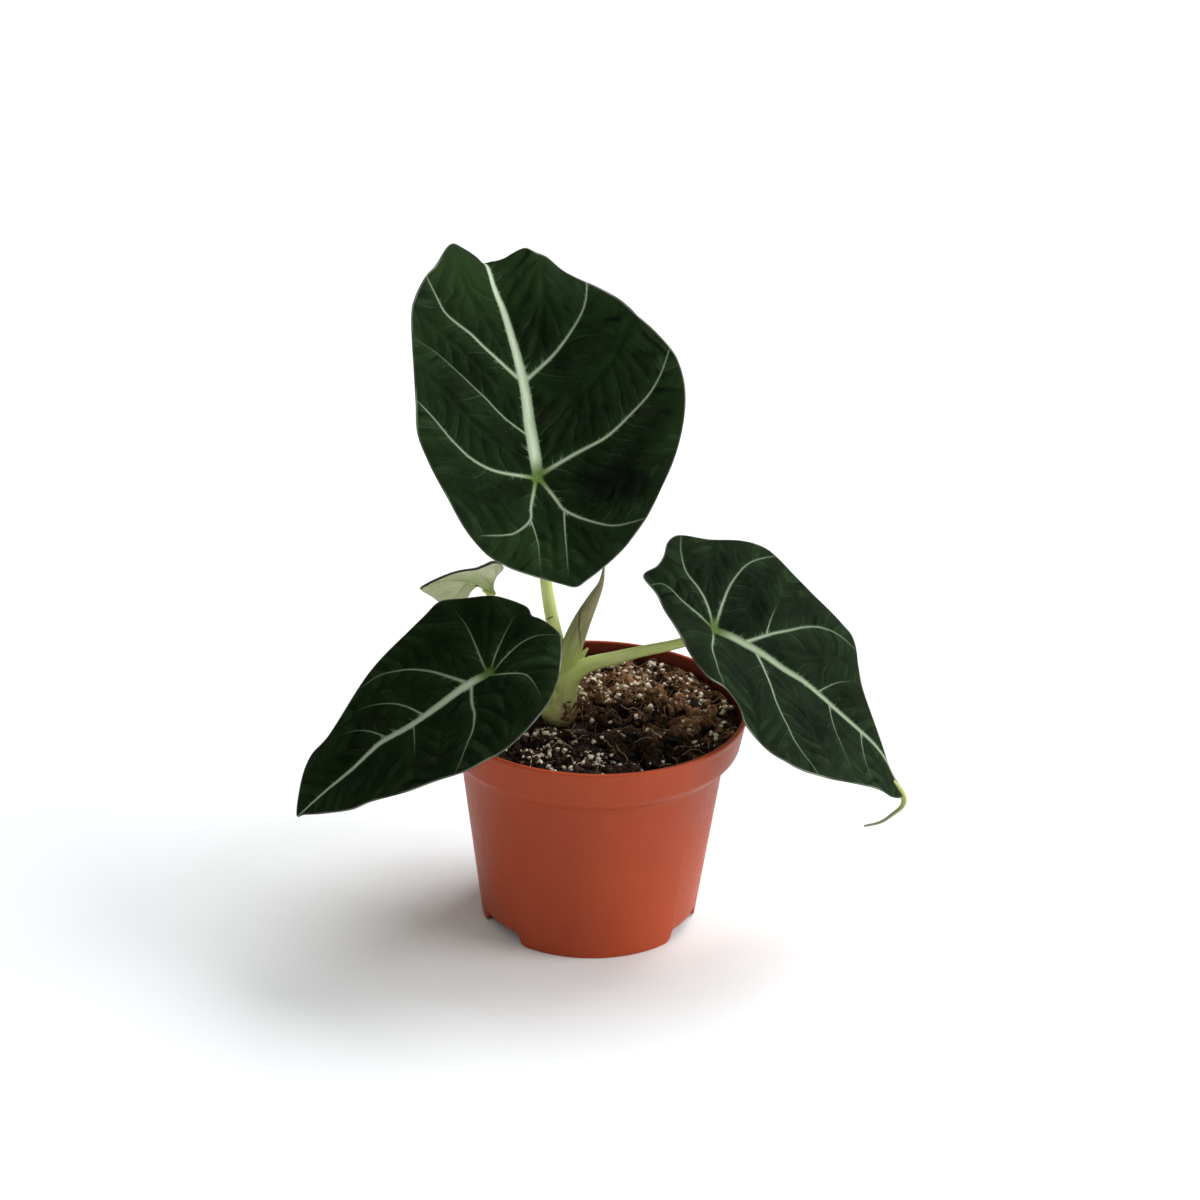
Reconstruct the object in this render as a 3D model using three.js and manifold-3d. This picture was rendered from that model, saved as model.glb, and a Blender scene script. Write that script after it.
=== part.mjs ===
// Alocasia reginula 'Black Velvet' growing in a 12 cm plastic nursery pot.
// Millimetres, Z up. The front of the plant, where the big blade shows its upper side, faces -Y.
// Every size below is measured from the pot's axis at its feet. At the end the whole plant is moved
// so that the origin is the middle of its footprint box, on the surface that it stands on.
import * as THREE from "three";
import { mergeVertices } from "three/addons/utils/BufferGeometryUtils.js";
import Module from "manifold-3d";

const wasm = await Module();
wasm.setup();

// Driving sizes ------------------------------------------------------------------------------------

const GAP = 0.3; // clearance between neighbouring pieces

const POT = {
  height: 88.7,
  rimRadius: 60,
  collarRadius: 57.4, // outside of the collar just above its rounded lower edge
  collarHeight: 14,
  shoulderHeight: 19, // from the rim down to where the collar has met the body
  shoulderRadius: 55.5, // outside of the rounded shoulder, half way between the two
  bodyRadius: 51.6, // outside of the body just under the shoulder
  baseRadius: 42.1,
  wall: 1.3,
  rimWall: 1.9,
  rimRounding: 0.6,
  floorUnderside: 5.2, // the floor hangs this far above the table, inside the foot ring
  segments: 64,
};

const FEET = {
  count: 3,
  firstNotchTurn: 66, // degrees, from the front towards the right
  notchWidth: 22,
  notchHeight: 4.8,
  flare: 3.8, // the feet's rounded lower corners
  lean: 1, // the notch is this much narrower to each side at its top
};

const DRAIN = { count: 6, radius: 3.5, ring: 28, centreRadius: 4 };

const SOIL = {
  level: 81.6,
  moundHeight: 1.2, // rise towards the stems
  moundSpread: 24,
  frontRise: 0.012, // slope of the whole surface, up towards the front
  backRise: 3, // the soil is heaped up by this much at the back of the pot,
  backFrom: -5, // from here
  backTo: 50, // to here
  broadLump: 0.65,
  fineLump: 0.45,
  edgeGap: 0.5, // between the soil's surface and the pot's wall
  segments: 40,
  topRings: 9,
};

const SPREAD = { radius: 54, stemRoom: 13 }; // where loose bits may lie on the soil
const GRAINS = { count: 58, smallest: 0.9, largest: 1.6, seed: 11 }; // perlite
const CHIPS = { count: 20, shortest: 2.5, longest: 6.5, narrow: 0.35, thick: 1.6, seed: 29 }; // bark

const RHIZOME = {
  x: -13.3,
  y: -2.2,
  sides: 20,
  // radius and height up the swollen stem base; most of it is buried
  profile: [
    [0, 58],
    [3.4, 60],
    [5, 66],
    [5.6, 74],
    [5.4, 80],
    [6.6, 83.5],
    [7.4, 87],
    [7.2, 90.5],
    [6, 93.5],
    [3.8, 95.4],
    [0, 96.2],
  ],
};

const ROOTS = {
  count: 6,
  length: 27,
  drop: 30,
  thick: 1.5,
  thin: 0.7,
  startHeight: 68,
  inset: 3,
  sides: 5,
  seed: 5,
};

const BLADE_THICKNESS = 0.8;

// Leaf blades --------------------------------------------------------------------------------------
// joint: where the stalk meets the blade, before the small hollow there is pressed in
// along, facing: direction of the midrib and of the blade's upper side
// outline: points of the edge, [along the midrib, across it], laid flat
// hub: the flat point that the blade's triangles spread from
// fold: slope at which both halves rise from the midrib; foldGain adds to it towards the tip
// sway: sideways bow of the midrib over its reach; sag: how much the halves hang at their edges
// tip, base: the blade bends down round this radius past this distance; skew turns the tip's bend
// domes: [along, across, height, spread] of broad swellings; ripple: the waves of the edge
// dripTip: the dried tail that trails from the tip, as [x, y, z, radius]

const BLADES = [
  {
    name: "blade_1",
    joint: [-23, 6, 181.5],
    along: [-0.197, 0.573, 0.796],
    facing: [0.323, -0.728, 0.604],
    outline: [
      [-43.5, -8],
      [-41.5, -2],
      [-36.5, 11],
      [-33, 18.5],
      [-27.5, 26.5],
      [-17.5, 34.5],
      [-4.5, 40.5],
      [7.5, 45.5],
      [18.5, 48.5],
      [30, 47.5],
      [44.5, 46],
      [63, 44],
      [71, 41],
      [79, 35],
      [84, 28.5],
      [88, 23.5],
      [91, 18.5],
      [94, 12.5],
      [99, 8],
      [107, 3],
      [101, -3],
      [95, -7],
      [89.5, -10.5],
      [83, -12.5],
      [79, -19.5],
      [70.5, -29.5],
      [57.5, -45.5],
      [43.5, -56.5],
      [34.5, -60],
      [24, -60.5],
      [12, -57.5],
      [0, -52],
      [-11, -45],
      [-20.5, -38.5],
      [-29, -30.5],
      [-35, -23],
      [-41.5, -12.5],
    ],
    hub: [12, 0],
    fold: 0.22,
    foldGain: 0.3,
    groove: 6,
    sway: 0,
    reach: 95,
    sag: 0,
    tip: { from: 68.3, radius: 15, skew: 18 },
    base: { from: -5, radius: 140 },
    domes: [[86, -14, 8.5, 9.5]],
    ripple: { height: 0.6, count: 6, phase: 40 },
    navel: { depth: 1.5, spread: 6 },
    rings: 10,
    spokes: 64,
  },
  {
    name: "blade_2",
    joint: [-40.1, -28, 115.5],
    along: [-0.839, -0.26, -0.479],
    facing: [-0.372, -0.369, 0.852],
    outline: [
      [92, -2.5],
      [83.5, -14],
      [75, -20],
      [65, -21.5],
      [47, -28.5],
      [26.5, -37.5],
      [8, -41.5],
      [-7.5, -37],
      [-21.5, -28],
      [-26, -17],
      [-29.5, -4.5],
      [-30.5, 1.5],
      [-26.5, 11.5],
      [-20.5, 24.5],
      [-14.5, 33],
      [-7.5, 38],
      [1, 41.5],
      [10, 44.5],
      [18.5, 44.5],
      [27, 43],
      [39.5, 35.5],
      [51, 30],
      [62.5, 23.5],
      [71, 19.5],
      [80.5, 10.5],
      [89, 1],
    ],
    hub: [12, 0],
    fold: 0.18,
    foldGain: 0,
    groove: 6,
    sway: 0,
    reach: 90,
    sag: 0.0015,
    tip: { from: 0, radius: 300, skew: 0 },
    base: { from: -2, radius: 90 },
    domes: [],
    ripple: { height: 0.9, count: 6, phase: 0 },
    navel: { depth: 1.5, spread: 6 },
    rings: 9,
    spokes: 56,
  },
  {
    name: "blade_3",
    joint: [46, -6, 125.7],
    along: [0.843, -0.059, -0.535],
    facing: [0.478, -0.374, 0.794],
    outline: [
      [-33.5, 8],
      [-30, 14],
      [-29, 19.5],
      [-29.5, 26],
      [-28, 31],
      [-24.5, 34],
      [-15, 38],
      [-4.5, 44],
      [3, 47],
      [9.5, 48],
      [22.5, 46.5],
      [35, 43],
      [45.5, 41],
      [52, 40],
      [56.5, 37],
      [61.5, 31],
      [68.5, 23.5],
      [84.5, 10],
      [93, 3.5],
      [103.5, -0.5],
      [98, -8],
      [89.5, -12.5],
      [75, -23.5],
      [61.5, -34.5],
      [50, -42.5],
      [40.5, -43.5],
      [31.5, -42],
      [22, -41],
      [17, -37],
      [9.5, -36.5],
      [1.5, -38],
      [-4.5, -34],
      [-10.5, -22.5],
      [-16.5, -13.5],
      [-25, 1],
    ],
    hub: [12, 0],
    fold: 0.22,
    foldGain: 0,
    groove: 6,
    sway: 6,
    reach: 104,
    sag: 0.0015,
    tip: { from: 0, radius: 260, skew: 0 },
    base: { from: -2, radius: 90 },
    domes: [
      [0, -34, 6, 20],
      [34, -42, -3, 10],
    ],
    ripple: { height: 0.9, count: 7, phase: 90 },
    navel: { depth: 1.5, spread: 6 },
    rings: 9,
    spokes: 64,
    dripTip: [
      [119, -5.3, 59.5, 0.9],
      [122.3, -5.1, 54.5, 0.9],
      [121.6, -5, 50.8, 0.7],
      [118.6, -5, 47.6, 0.6],
      [113.7, -5, 43.6, 0.5],
      [107.2, -5, 41.6, 0.4],
    ],
  },
  {
    name: "blade_4",
    joint: [-41.4, 30, 123.5],
    along: [-0.911, 0.407, 0.069],
    facing: [0.372, 0.739, 0.561],
    outline: [
      [-2.5, 4.5],
      [-6.5, 14.5],
      [-12.5, 26],
      [-9.5, 30.5],
      [-2, 22],
      [5, 14.5],
      [17.5, 6.5],
      [25, 3],
      [29, 0.5],
      [25.5, -6.5],
      [22.5, -11.5],
      [16.5, -13.5],
      [11.5, -9],
      [9, -4.5],
      [5, 0],
      [2.5, -1.2],
      [0, -2.5],
      [-2.5, -1],
    ],
    hub: [6, 6],
    fold: -0.15,
    foldGain: 0,
    groove: 4,
    sway: 3,
    reach: 29,
    sag: 0,
    tip: { from: 4, radius: 34, skew: 0 },
    base: { from: -40, radius: 90 },
    domes: [],
    ripple: { height: 0, count: 1, phase: 0 },
    navel: { depth: 1.5, spread: 4 },
    rings: 5,
    spokes: 40,
  },
];

// Stalks: [x, y, z, radius] from the rhizome upwards. A petiole ends in the blade that it `carries`,
// and `sheathTip` is the free tip of the sheath at its foot.
const NEW_LEAF = [
  [-11.6, -2.6, 86, 2],
  [-10.9, -2.5, 96, 2.1],
  [-10, -2.5, 106, 3.3],
  [-8.4, -2.2, 115.3, 4.1],
  [-5.2, -1.8, 125, 3.4],
  [-0.8, -1.2, 135, 2.1],
  [1.7, -1, 141.2, 1],
  [2.7, -1, 148, 0.4],
];

const PETIOLES = [
  {
    name: "petiole_1",
    carries: "blade_1",
    endRadius: 2.1,
    route: [
      [-13.2, -0.8, 86, 3.1],
      [-13.3, -0.5, 105.8, 2.9],
      [-14.6, 0, 115.4, 2.75],
      [-17, 1.5, 126, 2.55],
      [-19.4, 3, 140, 2.3],
      [-21.8, 5, 164, 2.15],
    ],
  },
  {
    name: "petiole_4",
    carries: "blade_4",
    endRadius: 0.9,
    route: [
      [-14.6, 1.4, 86, 2.4],
      [-17, 4.5, 98, 2.2],
      [-25, 13, 109, 1.7],
      [-34, 22.5, 116, 1.3],
    ],
  },
  {
    name: "petiole_2",
    carries: "blade_2",
    endRadius: 2,
    route: [
      [-14.6, -4.4, 86, 2.9],
      [-17, -6, 97, 2.7],
      [-24, -12.5, 105, 2.4],
      [-33, -21.5, 111, 2.1],
    ],
  },
  {
    name: "petiole_3",
    carries: "blade_3",
    endRadius: 1.8,
    route: [
      [-11.2, -3.4, 86, 4.6],
      [-10.6, -3.6, 96, 4.4],
      [-8.6, -4.3, 103, 3.8],
      [-2.4, -5, 108.4, 3],
      [7.8, -5.5, 111.8, 2.6],
      [17.4, -6, 115, 2.2],
      [33.3, -6.5, 119.5, 1.9],
    ],
    sheathTip: [
      [-8, -2.6, 101, 2],
      [-6.6, -1.4, 106, 1.8],
      [-4.8, -0.2, 110, 1.2],
      [-2.7, 0.6, 112.8, 0.4],
    ],
  },
];

const STALK_SIDES = 10;
const TIP_SIDES = 7; // of the thin free tips

const COLOURS = {
  pot: 0xb55a3a,
  soil: 0x3a2a1f,
  rhizome: 0x6e7440,
  petiole: 0x93a85a,
  newLeaf: 0x8f9468,
  blade: 0x1b2c1c,
};

// Helpers ------------------------------------------------------------------------------------------

const radians = THREE.MathUtils.degToRad;

// A repeatable stream of numbers from 0 to 1.
function randomFrom(seed) {
  let state = seed;
  return () => {
    state = (state * 1664525 + 1013904223) % 4294967296;
    return state / 4294967296;
  };
}

function solidFrom(geometry) {
  const bare = geometry.clone();
  bare.deleteAttribute("normal");
  bare.deleteAttribute("uv");
  const merged = mergeVertices(bare, 1e-4);
  return new wasm.Manifold(
    new wasm.Mesh({
      numProp: 3,
      vertProperties: merged.attributes.position.array,
      triVerts: new Uint32Array(merged.index.array),
    }),
  );
}

function geometryFrom(solid) {
  const mesh = solid.getMesh();
  const geometry = new THREE.BufferGeometry();
  geometry.setAttribute("position", new THREE.BufferAttribute(mesh.vertProperties, 3));
  geometry.setIndex(new THREE.BufferAttribute(mesh.triVerts, 1));
  geometry.computeVertexNormals();
  return geometry;
}

// Only the biggest body, so that no sliver is left beyond a cut.
function biggestBody(solid) {
  return solid.decompose().reduce((best, body) => (body.volume() > best.volume() ? body : best));
}

function pieceOf(name, solid, colour, roughness) {
  const material = new THREE.MeshStandardMaterial({ color: colour, roughness, metalness: 0 });
  const mesh = new THREE.Mesh(geometryFrom(solid), material);
  mesh.name = name;
  return mesh;
}

// A profile of [radius, height] points turned about the Z axis.
function turned(profile, segments) {
  const points = profile.map(([radius, height]) => new THREE.Vector2(radius, height));
  return new THREE.LatheGeometry(points, segments).rotateX(Math.PI / 2);
}

// A closed round stalk along [x, y, z, radius] points, grown by `extra` all round.
function stalk(route, sides, extra = 0) {
  const steps = Math.ceil(2.6 * route.length);
  const curve = new THREE.CatmullRomCurve3(route.map(([x, y, z]) => new THREE.Vector3(x, y, z)));
  const radii = new THREE.SplineCurve(route.map((point, i) => new THREE.Vector2(i, point[3])));
  const frames = curve.computeFrenetFrames(steps, false);
  const positions = [];
  for (let step = 0; step <= steps; step++) {
    const centre = curve.getPoint(curve.getUtoTmapping(step / steps));
    const radius = radii.getPoint(curve.getUtoTmapping(step / steps)).y + extra;
    for (let side = 0; side < sides; side++) {
      const angle = (2 * Math.PI * side) / sides;
      const point = centre.clone();
      point.addScaledVector(frames.normals[step], radius * Math.cos(angle));
      point.addScaledVector(frames.binormals[step], radius * Math.sin(angle));
      positions.push(...point);
    }
  }
  const start = curve.getPoint(0).addScaledVector(frames.tangents[0], -extra);
  const end = curve.getPoint(1).addScaledVector(frames.tangents[steps], extra);
  positions.push(...start, ...end);
  const index = [];
  const startCentre = sides * (steps + 1);
  for (let side = 0; side < sides; side++) {
    const next = (side + 1) % sides;
    for (let step = 0; step < steps; step++) {
      const low = step * sides;
      const high = low + sides;
      index.push(low + side, low + next, high + next, low + side, high + next, high + side);
    }
    const last = steps * sides;
    index.push(startCentre, next, side, startCentre + 1, last + side, last + next);
  }
  const geometry = new THREE.BufferGeometry();
  geometry.setAttribute("position", new THREE.Float32BufferAttribute(positions, 3));
  geometry.setIndex(index);
  return solidFrom(geometry);
}

// Pot ----------------------------------------------------------------------------------------------

// The pot's inner wall from the floor to the rim, as [radius, height].
function innerProfile() {
  const { height, rimRadius, collarRadius, collarHeight, shoulderHeight } = POT;
  const { bodyRadius, baseRadius, wall, rimWall, floorUnderside } = POT;
  const floorTop = floorUnderside + wall;
  const taper = (bodyRadius - baseRadius) / (height - shoulderHeight);
  return [
    [baseRadius + taper * floorTop - wall, floorTop],
    [bodyRadius - wall, height - shoulderHeight],
    [collarRadius - wall, height - collarHeight],
    [rimRadius - rimWall, height],
  ];
}

function footNotch() {
  const half = FEET.notchWidth / 2;
  const top = FEET.notchHeight;
  const arch = new THREE.Shape();
  arch.moveTo(-half - FEET.flare, -1);
  arch.lineTo(-half - FEET.flare, 0);
  arch.quadraticCurveTo(-half, 0, -half, FEET.flare);
  arch.lineTo(-half + FEET.lean, top);
  arch.lineTo(half - FEET.lean, top);
  arch.lineTo(half, FEET.flare);
  arch.quadraticCurveTo(half, 0, half + FEET.flare, 0);
  arch.lineTo(half + FEET.flare, -1);
  const depth = POT.baseRadius;
  const cutter = new THREE.ExtrudeGeometry(arch, { depth, bevelEnabled: false, curveSegments: 4 });
  return cutter.translate(0, 0, depth / 2).rotateX(Math.PI / 2);
}

function drainHole(radius, x, y) {
  const hole = new THREE.CylinderGeometry(radius, radius, 4 * POT.wall, 16).rotateX(Math.PI / 2);
  return solidFrom(hole.translate(x, y, POT.floorUnderside + POT.wall / 2));
}

function makePot() {
  const { height, rimRadius, rimRounding, collarRadius, collarHeight } = POT;
  const { shoulderHeight, shoulderRadius, bodyRadius, baseRadius, wall, floorUnderside } = POT;
  const profile = [
    [0, floorUnderside],
    [baseRadius - wall, floorUnderside],
    [baseRadius - wall, 0],
    [baseRadius, 0],
    [bodyRadius, height - shoulderHeight],
    [shoulderRadius, height - (collarHeight + shoulderHeight) / 2],
    [collarRadius, height - collarHeight],
    [rimRadius, height - rimRounding],
    [rimRadius - rimRounding, height],
    ...innerProfile().reverse(),
    [0, floorUnderside + wall],
  ];
  let pot = solidFrom(turned(profile, POT.segments));
  for (let i = 0; i < FEET.count; i++) {
    const notch = footNotch().rotateZ(radians(FEET.firstNotchTurn + (360 / FEET.count) * i));
    pot = pot.subtract(solidFrom(notch));
  }
  for (let i = 0; i < DRAIN.count; i++) {
    const turn = (2 * Math.PI * i) / DRAIN.count;
    pot = pot.subtract(drainHole(DRAIN.radius, DRAIN.ring * Math.cos(turn), DRAIN.ring * Math.sin(turn)));
  }
  return pot.subtract(drainHole(DRAIN.centreRadius, 0, 0));
}

// Soil ---------------------------------------------------------------------------------------------

// Height of the soil's surface: a low mound round the stems and a heap at the back, with lumps and hollows.
function soilHeight(x, y) {
  const fromStem = Math.hypot(x - RHIZOME.x, y - RHIZOME.y);
  const mound = SOIL.moundHeight * Math.exp(-((fromStem / SOIL.moundSpread) ** 2));
  const broad = SOIL.broadLump * Math.sin(0.19 * x + 1.3) * Math.sin(0.23 * y + 0.4);
  const fine = SOIL.fineLump * Math.sin(0.53 * x + 0.31 * y) * Math.sin(0.61 * y - 0.27 * x + 2);
  const heap = SOIL.backRise * THREE.MathUtils.smoothstep(y, SOIL.backFrom, SOIL.backTo);
  return SOIL.level + mound + heap - SOIL.frontRise * y + broad + fine;
}

function soilBed() {
  const [floor, shoulder, collar, rim] = innerProfile();
  const share = (SOIL.level - collar[1]) / (rim[1] - collar[1]);
  const edge = THREE.MathUtils.lerp(collar[0], rim[0], share) - SOIL.edgeGap;
  const profile = [
    [0, floor[1] + GAP],
    [floor[0] - GAP, floor[1] + GAP],
    [shoulder[0] - GAP, shoulder[1]],
    [collar[0] - GAP, collar[1]],
  ];
  for (let ring = SOIL.topRings; ring >= 0; ring--) profile.push([(edge * ring) / SOIL.topRings, SOIL.level]);
  const bed = turned(profile, SOIL.segments);
  const points = bed.attributes.position;
  for (let i = 0; i < points.count; i++) {
    if (points.getZ(i) > SOIL.level - 0.01) points.setZ(i, soilHeight(points.getX(i), points.getY(i)));
  }
  return solidFrom(bed);
}

// A random place on the soil, clear of the pot's wall and of the stems.
function soilPlace(random) {
  for (;;) {
    const distance = SPREAD.radius * Math.sqrt(random());
    const turn = 2 * Math.PI * random();
    const x = distance * Math.cos(turn);
    const y = distance * Math.sin(turn);
    if (Math.hypot(x - RHIZOME.x, y - RHIZOME.y) > SPREAD.stemRoom) return [x, y];
  }
}

function perliteGrains() {
  const random = randomFrom(GRAINS.seed);
  return Array.from({ length: GRAINS.count }, () => {
    const [x, y] = soilPlace(random);
    const size = GRAINS.smallest + (GRAINS.largest - GRAINS.smallest) * random();
    const grain = new THREE.OctahedronGeometry(size, 0);
    grain.scale(1, 0.8 + 0.3 * random(), 0.8).rotateZ(2 * Math.PI * random()).rotateX(random());
    return solidFrom(grain.translate(x, y, soilHeight(x, y) + 0.2 * size));
  });
}

function barkChips() {
  const random = randomFrom(CHIPS.seed);
  return Array.from({ length: CHIPS.count }, () => {
    const [x, y] = soilPlace(random);
    const length = CHIPS.shortest + (CHIPS.longest - CHIPS.shortest) * random();
    const chip = new THREE.BoxGeometry(length, CHIPS.narrow * length, CHIPS.thick);
    chip.rotateX(random() - 0.5).rotateY(0.6 * (random() - 0.5)).rotateZ(2 * Math.PI * random());
    return solidFrom(chip.translate(0.94 * x, 0.94 * y, soilHeight(x, y)));
  });
}

function makeSoil(buried) {
  return biggestBody(wasm.Manifold.union([soilBed(), ...perliteGrains(), ...barkChips()]).subtract(buried));
}

// Rhizome and roots --------------------------------------------------------------------------------

function makeRhizome(extra = 0) {
  const { x, y, sides, profile } = RHIZOME;
  const last = profile.length - 1;
  const grown = profile.map(([radius, height], i) => {
    const rise = i === 0 ? -extra : i === last ? extra : 0;
    return [i === 0 || i === last ? 0 : radius + extra, height + rise];
  });
  const random = randomFrom(ROOTS.seed);
  const roots = Array.from({ length: ROOTS.count }, (_, i) => {
    const turn = (2 * Math.PI * (i + 0.5 * random())) / ROOTS.count;
    const reach = ROOTS.length * (0.7 + 0.5 * random());
    const route = [0, 0.5, 1].map((part) => [
      x + Math.cos(turn) * (ROOTS.inset + reach * part),
      y + Math.sin(turn) * (ROOTS.inset + reach * part),
      ROOTS.startHeight - ROOTS.drop * part * part,
      THREE.MathUtils.lerp(ROOTS.thick, ROOTS.thin, part),
    ]);
    return stalk(route, ROOTS.sides, extra);
  });
  return wasm.Manifold.union([solidFrom(turned(grown, sides).translate(x, y, 0)), ...roots]);
}

// Blades -------------------------------------------------------------------------------------------

// Where a flat point [u, v] of the blade lies, in the blade's own directions [along, across, up].
// `edge` goes from 0 at the hub to 1 at the outline.
function bentPoint(blade, u, v, edge) {
  const { fold, foldGain, groove, sway, reach, sag, tip, base, domes, ripple, navel, hub } = blade;
  const onward = Math.max(u, 0) / 100;
  const midrib = sway * Math.sin(Math.PI * THREE.MathUtils.clamp(u / reach, 0, 1));
  const off = v - midrib;
  let up = (fold + foldGain * onward ** 2) * (Math.hypot(off, groove) - groove) - sag * off * off;
  for (const [domeU, domeV, height, spread] of domes) {
    up += height * Math.exp(-((u - domeU) ** 2 + (v - domeV) ** 2) / spread ** 2);
  }
  const turn = Math.atan2(v - hub[1], u - hub[0]);
  up += ripple.height * edge ** 2 * Math.sin(ripple.count * turn + radians(ripple.phase));
  up -= navel.depth * Math.exp(-(u * u + v * v) / navel.spread ** 2);

  const cosSkew = Math.cos(radians(tip.skew));
  const sinSkew = Math.sin(radians(tip.skew));
  const run = u * cosSkew - v * sinSkew;
  const beside = u * sinSkew + v * cosSkew;
  let forward = run;
  let drop = 0;
  let angle = 0;
  if (run > tip.from) {
    angle = (run - tip.from) / tip.radius;
    forward = tip.from + tip.radius * Math.sin(angle);
    drop = tip.radius * (1 - Math.cos(angle));
  } else if (run < base.from) {
    angle = (run - base.from) / base.radius;
    forward = base.from + base.radius * Math.sin(angle);
    drop = base.radius * (1 - Math.cos(angle));
  }
  const bent = forward + up * Math.sin(angle);
  return [bent * cosSkew + beside * sinSkew, beside * cosSkew - bent * sinSkew, up * Math.cos(angle) - drop];
}

function bladeFrame(blade) {
  const along = new THREE.Vector3(...blade.along).normalize();
  const across = new THREE.Vector3(...blade.facing).cross(along).normalize();
  const frame = new THREE.Matrix4().makeBasis(along, across, along.clone().cross(across));
  return frame.setPosition(...blade.joint);
}

function jointOf(blade) {
  return new THREE.Vector3(...bentPoint(blade, 0, 0, 0)).applyMatrix4(bladeFrame(blade));
}

// The blade as a solid sheet: one web of triangles from the hub to the outline, the same on both faces.
function bladeSheet(blade, thickness) {
  const { outline, hub, rings, spokes } = blade;
  const edge = new THREE.CatmullRomCurve3(
    outline.map(([u, v]) => new THREE.Vector3(u, v, 0)),
    true,
    "catmullrom",
    0.5,
  );
  const rim = edge.getSpacedPoints(spokes).slice(0, spokes);
  const positions = [...bentPoint(blade, ...hub, 0)];
  for (let ring = 1; ring <= rings; ring++) {
    const share = ring / rings;
    for (const point of rim) {
      const u = hub[0] + (point.x - hub[0]) * share;
      const v = hub[1] + (point.y - hub[1]) * share;
      positions.push(...bentPoint(blade, u, v, share));
    }
  }
  const web = [];
  const at = (ring, spoke) => (ring === 0 ? 0 : 1 + (ring - 1) * spokes + (spoke % spokes));
  for (let spoke = 0; spoke < spokes; spoke++) {
    web.push(0, at(1, spoke), at(1, spoke + 1));
    for (let ring = 1; ring < rings; ring++) {
      web.push(at(ring, spoke), at(ring + 1, spoke), at(ring + 1, spoke + 1));
      web.push(at(ring, spoke), at(ring + 1, spoke + 1), at(ring, spoke + 1));
    }
  }
  const middle = new THREE.BufferGeometry();
  middle.setAttribute("position", new THREE.Float32BufferAttribute(positions, 3));
  middle.setIndex(web);
  middle.applyMatrix4(bladeFrame(blade));
  middle.computeVertexNormals();
  return solidFrom(thickened(middle, thickness, at(rings, 0), spokes));
}

// Both faces of a sheet, half the thickness to each side, joined round its rim of `count` points.
function thickened(middle, thickness, firstRimPoint, count) {
  const { position, normal } = middle.attributes;
  const total = position.count;
  const point = new THREE.Vector3();
  const out = new THREE.Vector3();
  const positions = [];
  for (const side of [0.5, -0.5]) {
    for (let i = 0; i < total; i++) {
      out.fromBufferAttribute(normal, i);
      point.fromBufferAttribute(position, i).addScaledVector(out, side * thickness);
      positions.push(...point);
    }
  }
  const index = [...middle.index.array];
  for (let i = 0; i < middle.index.count; i += 3) {
    const [a, b, c] = middle.index.array.slice(i, i + 3);
    index.push(total + a, total + c, total + b);
  }
  for (let i = 0; i < count; i++) {
    const a = firstRimPoint + i;
    const b = firstRimPoint + ((i + 1) % count);
    index.push(a, total + a, total + b, a, total + b, b);
  }
  const sheet = new THREE.BufferGeometry();
  sheet.setAttribute("position", new THREE.Float32BufferAttribute(positions, 3));
  sheet.setIndex(index);
  return sheet;
}

// Assembly -----------------------------------------------------------------------------------------

const plant = new THREE.Group();

for (const blade of BLADES) {
  let sheet = bladeSheet(blade, BLADE_THICKNESS);
  if (blade.dripTip) sheet = sheet.add(stalk(blade.dripTip, TIP_SIDES));
  plant.add(pieceOf(blade.name, sheet, COLOURS.blade, 0.6));
}

// Each stalk is cut clear of the rhizome, of the blade it carries and of the stalks inside its sheath.
const rhizomeRoom = makeRhizome(GAP);
const newLeaf = stalk(NEW_LEAF, STALK_SIDES).subtract(rhizomeRoom);
plant.add(pieceOf("new_leaf", biggestBody(newLeaf), COLOURS.newLeaf, 0.5));

let taken = rhizomeRoom.add(stalk(NEW_LEAF, STALK_SIDES, GAP));
for (const petiole of PETIOLES) {
  const blade = BLADES.find(({ name }) => name === petiole.carries);
  const bladeRoom = bladeSheet(blade, BLADE_THICKNESS + 2 * GAP);
  const route = [...petiole.route, [...jointOf(blade), petiole.endRadius]];
  const [stem, room] = [0, GAP].map((extra) => {
    const bare = stalk(route, STALK_SIDES, extra);
    return petiole.sheathTip ? bare.add(stalk(petiole.sheathTip, TIP_SIDES, extra)) : bare;
  });
  const cut = biggestBody(stem.subtract(taken).subtract(bladeRoom));
  plant.add(pieceOf(petiole.name, cut, COLOURS.petiole, 0.5));
  taken = taken.add(room);
}

plant.add(pieceOf("rhizome", makeRhizome(), COLOURS.rhizome, 0.6));
plant.add(pieceOf("soil", makeSoil(rhizomeRoom), COLOURS.soil, 0.95));
plant.add(pieceOf("pot", makePot(), COLOURS.pot, 0.45));

const middle = new THREE.Box3().setFromObject(plant).getCenter(new THREE.Vector3());
plant.position.set(-middle.x, -middle.y, 0);

export default plant;
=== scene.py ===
import math

import bpy
import numpy as np
from mathutils import Matrix, Vector


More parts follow.
